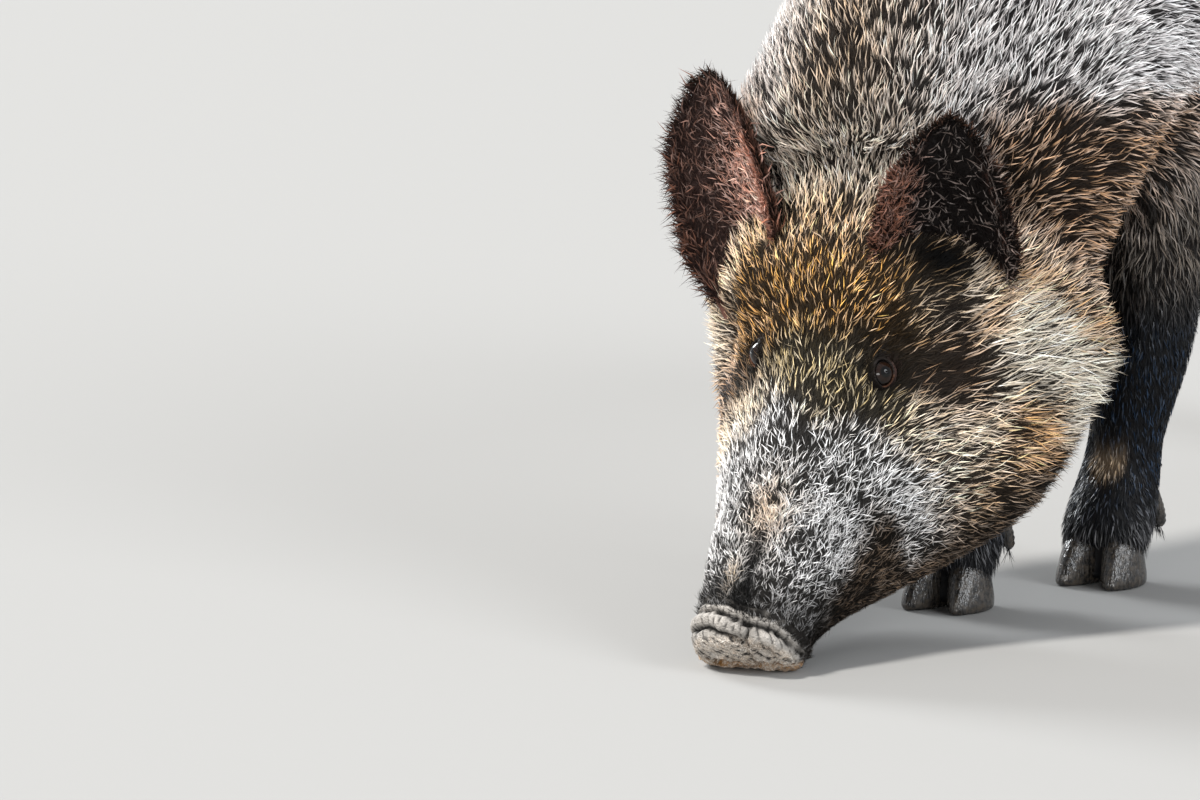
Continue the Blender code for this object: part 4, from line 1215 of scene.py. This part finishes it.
for left, word in ((1, "left"), (-1, "right")):
    rng = np.random.default_rng(200 + left)
    ear_points, index, highs, acrosses, is_inner = ear_meshes[left]
    _, up, face_way, aside = ear_axes(left)
    rim = smoothstep(0.75, 0.97, np.abs(acrosses))
    weight = (np.where(is_inner, 0.45, 1.0) + 1.1 * rim) * (highs > -0.08)
    places = scattered(ear_points, index, int(EAR_TUFTS * FEW), weight[index].mean(axis=1), rng)
    roots = at_places(ear_points, index, places)
    out = unit(at_places(normals_of(ear_points, index), index, places))
    numbers = np.column_stack([highs, acrosses, is_inner, rim])
    high, across, inside, edge = at_places(numbers, index, places).T
    sideways = across * (0.35 + 0.55 * edge) * (1 - 1.3 * inside * (1 - edge))
    way_there = up * (1.0 - 0.2 * inside)[:, None] + aside * sideways[:, None]
    way_there = way_there + face_way * (0.25 * edge)[:, None]
    lengths = 0.0085 + 0.004 * edge + 0.005 * inside * rng.random(len(roots))
    rises = 0.0022 + 0.0045 * inside * rng.random(len(roots)) + 0.003 * edge
    widths = np.full(len(roots), EAR_HAIR_WIDTH)
    build = np.column_stack([lengths, widths, rises, 0.20 + 0.5 * inside, 0.15 + 0.4 * inside])
    coat.append(coat_piece(
        "coat_ear_" + word, roots, out, way_there, build, ear_look(left, high, across, inside, edge),
        unrolled(roots, up, EAR_MAP_REACH), rng))

# %% [markdown]
# ## Hair and eyes: painted materials
# Hair reads the colour that was painted on each tuft, so one material serves all of it.  On the body it is
# nearly matt, and on the legs, where it lies flat and wet, it is sleeker.  The eye is smooth, with
# a thin clear coat over it for the wet shine.

# %% Painted materials
def material(name, roughness, specular=0.5, coat_weight=0.0):
    """A new material, its nodes and links, and its shader."""
    new = bpy.data.materials.new(name)
    new.use_nodes = True
    shader = new.node_tree.nodes["Principled BSDF"]
    shader.inputs["Roughness"].default_value = roughness
    shader.inputs["Specular IOR Level"].default_value = specular
    shader.inputs["Coat Weight"].default_value = coat_weight
    shader.inputs["Coat Roughness"].default_value = 0.03
    return new, new.node_tree.nodes, new.node_tree.links, shader


def painted(nodes, name):
    """The colour of a painted attribute."""
    node = nodes.new("ShaderNodeAttribute")
    node.attribute_name = name
    return node.outputs["Color"]


def painted_material(name, attribute_name, *finish):
    """A material whose base colour is a painted attribute."""
    new, nodes, links, shader = material(name, *finish)
    links.new(painted(nodes, attribute_name), shader.inputs["Base Color"])
    return new


bristle = painted_material("boar_bristle", "hair_colour", 0.60, 0.10)
sleek = painted_material("sleek_leg_hair", "hair_colour", 0.36, 0.22)
eye_wet = painted_material("wet_eye", "eye_colour", 0.07, 0.25, 0.15)
for piece in coat:
    piece.data.materials.append(sleek if "legs" in piece.name else bristle)
for piece in eyeballs:
    piece.data.materials.append(eye_wet)
print("painted materials:", bristle.name, sleek.name, eye_wet.name)

# %% [markdown]
# ## Masks for hide and horn
# Dirt, mottling and streaks are all noise that is cut off at two values.  Each could be built anew in its
# material.  As a node group the noise is built once, and each material gives it a scale of its own.

# %% Node helpers
def noise_mask(name, detail, low, high):
    """A node group: noise of a chosen scale, brought from low and high to 0 and 1."""
    group = bpy.data.node_groups.new(name, "ShaderNodeTree")
    group.interface.new_socket("Vector", in_out="INPUT", socket_type="NodeSocketVector")
    scale = group.interface.new_socket("Scale", in_out="INPUT", socket_type="NodeSocketFloat")
    scale.default_value = 100.0
    group.interface.new_socket("Mask", in_out="OUTPUT", socket_type="NodeSocketFloat")
    enter, leave = group.nodes.new("NodeGroupInput"), group.nodes.new("NodeGroupOutput")
    noise, ramp = group.nodes.new("ShaderNodeTexNoise"), group.nodes.new("ShaderNodeMapRange")
    noise.inputs["Detail"].default_value = detail
    ramp.inputs["From Min"].default_value = low
    ramp.inputs["From Max"].default_value = high
    group.links.new(enter.outputs["Vector"], noise.inputs["Vector"])
    group.links.new(enter.outputs["Scale"], noise.inputs["Scale"])
    group.links.new(noise.outputs["Fac"], ramp.inputs["Value"])
    group.links.new(ramp.outputs["Result"], leave.inputs["Mask"])
    return group


SPECKS = noise_mask("specks", 4.0, 0.42, 0.62)
CLOUDS = noise_mask("clouds", 3.0, 0.30, 0.70)


class Maker:
    """Adds nodes to one material.  A value that is a socket is linked, and any other is set."""

    def __init__(self, nodes, links):
        self.nodes, self.links = nodes, links

    def feed(self, pairs):
        """Links or sets each value of the pairs of value and socket."""
        for value, socket in pairs:
            if isinstance(value, bpy.types.NodeSocket):
                self.links.new(value, socket)
            else:
                socket.default_value = value

    def mask(self, group, scale, place):
        """The mask that a noise group gives at a place, for noise of some scale."""
        node = self.nodes.new("ShaderNodeGroup")
        node.node_tree = group
        self.feed([(scale, node.inputs["Scale"]), (place, node.inputs["Vector"])])
        return node.outputs["Mask"]

    def mixed(self, share, first, second):
        """first * (1 - share) + second * share, as colours."""
        mix = self.nodes.new("ShaderNodeMix")
        mix.data_type = "RGBA"
        self.feed(zip((share, first, second), [mix.inputs[0], mix.inputs[6], mix.inputs[7]]))
        return mix.outputs[2]

    def product(self, first, second):
        """first * second, as numbers."""
        node = self.nodes.new("ShaderNodeMath")
        node.operation = "MULTIPLY"
        self.feed([(first, node.inputs[0]), (second, node.inputs[1])])
        return node.outputs[0]

    def bump(self, height, distance):
        """A Bump node that makes a height into a tilt of the surface."""
        node = self.nodes.new("ShaderNodeBump")
        self.feed([(distance, node.inputs["Distance"]), (height, node.inputs["Height"])])
        return node


print("masks:", SPECKS.name, CLOUDS.name)

# %% [markdown]
# ## Hide
# Bare hide has fine cells with creases between them, and dried mud lies on it in clouds with pale specks.
# An image would need a map of the whole skin.  Cells and noise need only the place in space,
# and the painted masks say where hide is bare and where mud clings.

# %% Hide
MOTTLE, SPECK = (0.020, 0.016, 0.014), (1.000, 0.930, 0.840)
hide, nodes, links, shader = material("boar_hide", 0.58, 0.14)
make = Maker(nodes, links)
place = nodes.new("ShaderNodeTexCoord").outputs["Object"]
marks = nodes.new("ShaderNodeSeparateColor")
links.new(painted(nodes, "bare_mud"), marks.inputs["Color"])
bare_part, mud_part = marks.outputs[0], marks.outputs[1]
specks, clouds = make.mask(SPECKS, 900.0, place), make.mask(CLOUDS, 160.0, place)
mottled = make.mixed(make.product(clouds, 0.30), painted(nodes, "hide"), (*MOTTLE, 1))
muddy = make.mixed(make.product(mud_part, clouds), mottled, (*MUD, 1))
speckled = make.mixed(make.product(mud_part, specks), muddy, (*SPECK, 1))
links.new(speckled, shader.inputs["Base Color"])
pores = nodes.new("ShaderNodeTexVoronoi")
pores.feature = "DISTANCE_TO_EDGE"
pores.inputs["Scale"].default_value = 420.0
links.new(place, pores.inputs["Vector"])
wrinkles = make.bump(make.product(pores.outputs["Distance"], bare_part), 0.0016)
grit = make.bump(make.product(specks, mud_part), 0.0009)
links.new(wrinkles.outputs["Normal"], grit.inputs["Normal"])
links.new(grit.outputs["Normal"], shader.inputs["Normal"])
skin.data.materials.append(hide)
print("hide nodes:", len(nodes))

# %% [markdown]
# ## Horn
# Horn grows down from the crown, so its streaks are stretched along that way.  It is dark, glossy
# and a little dirty.

# %% Horn
DARK_HORN, PALE_HORN, DIRT = (0.007, 0.007, 0.007), (0.036, 0.033, 0.031), (0.160, 0.125, 0.090)
horn, nodes, links, shader = material("hoof_horn", 0.17, 0.6)
make = Maker(nodes, links)
place = nodes.new("ShaderNodeTexCoord").outputs["Object"]
stretch = nodes.new("ShaderNodeMapping")
stretch.inputs["Scale"].default_value = (1.0, 1.0, 0.16)
links.new(place, stretch.inputs["Vector"])
streaks = make.mask(CLOUDS, 420.0, stretch.outputs["Vector"])
dirt = make.mask(SPECKS, 260.0, place)
grown = make.mixed(streaks, (*DARK_HORN, 1), (*PALE_HORN, 1))
soiled = make.mixed(make.product(dirt, 0.25), grown, (*DIRT, 1))
links.new(soiled, shader.inputs["Base Color"])
links.new(make.bump(streaks, 0.0006).outputs["Normal"], shader.inputs["Normal"])
for piece in horns:
    piece.data.materials.append(horn)
print("horn nodes:", len(nodes))

# %% [markdown]
# ## Floor and light
# A plain pale floor and a pale sky all round show the animal alone.  Area lamps near it would light the
# head more than the rump, so four suns stand in for windows: a small high one from the upper left, a
# broad one from the right, one from behind that picks out the edge of the coat, and a weak low one
# from the front for the snout and the legs.

# %% Floor and sky
FLOOR_REACH = 24.0
FLOOR_GREY, SKY_BLUE, SKY_STRENGTH = (0.310, 0.307, 0.300), (0.93, 0.96, 1.0), 0.60
corners = [(i * FLOOR_REACH, j * FLOOR_REACH, 0) for i, j in ((-1, -1), (1, -1), (1, 1), (-1, 1))]
floor_mesh = bpy.data.meshes.new("floor")
floor_mesh.from_pydata(corners, [], [(0, 1, 2, 3)])
floor = in_scene("floor", floor_mesh)
floor_look, nodes, links, shader = material("studio_floor", 0.9, 0.2)
shader.inputs["Base Color"].default_value = (*FLOOR_GREY, 1)
floor_mesh.materials.append(floor_look)

world = bpy.data.worlds.new("studio")
world.use_nodes = True
sky = world.node_tree.nodes["Background"].inputs
sky["Color"].default_value = (*SKY_BLUE, 1)
sky["Strength"].default_value = SKY_STRENGTH
bpy.context.scene.world = world
print("floor", 2 * FLOOR_REACH, "m wide")

# %% Windows
WINDOWS = {  # where the light comes from, its strength, the window's angle in degrees, its colour
    "high window": (TOWARDS * 0.45 - ACROSS * 0.75 + UPWARDS * 1.1, 4.2, 9, (1.0, 0.97, 0.93)),
    "side window": (TOWARDS * 1.0 + ACROSS * 1.0 + UPWARDS * 0.6, 1.8, 30, (0.94, 0.97, 1.0)),
    "back window": (-TOWARDS * 0.9 - ACROSS * 0.8 + UPWARDS * 0.8, 3.0, 20, (0.95, 0.98, 1.0)),
    "front window": ((1.0, 0.15, 0.05), 1.25, 24, (1.0, 0.98, 0.95)),
}
for name, (way_to, strength, wide, colour) in WINDOWS.items():
    lamp_data = bpy.data.lights.new(name, "SUN")
    lamp_data.energy = strength
    lamp_data.angle = radians(wide)
    lamp_data.color = colour
    lamp = in_scene(name, lamp_data)
    lamp.rotation_euler = Vector(way_to).to_track_quat("Z", "Y").to_euler()
bpy.context.scene.view_settings.view_transform = "Standard"
print("windows:", len(WINDOWS))
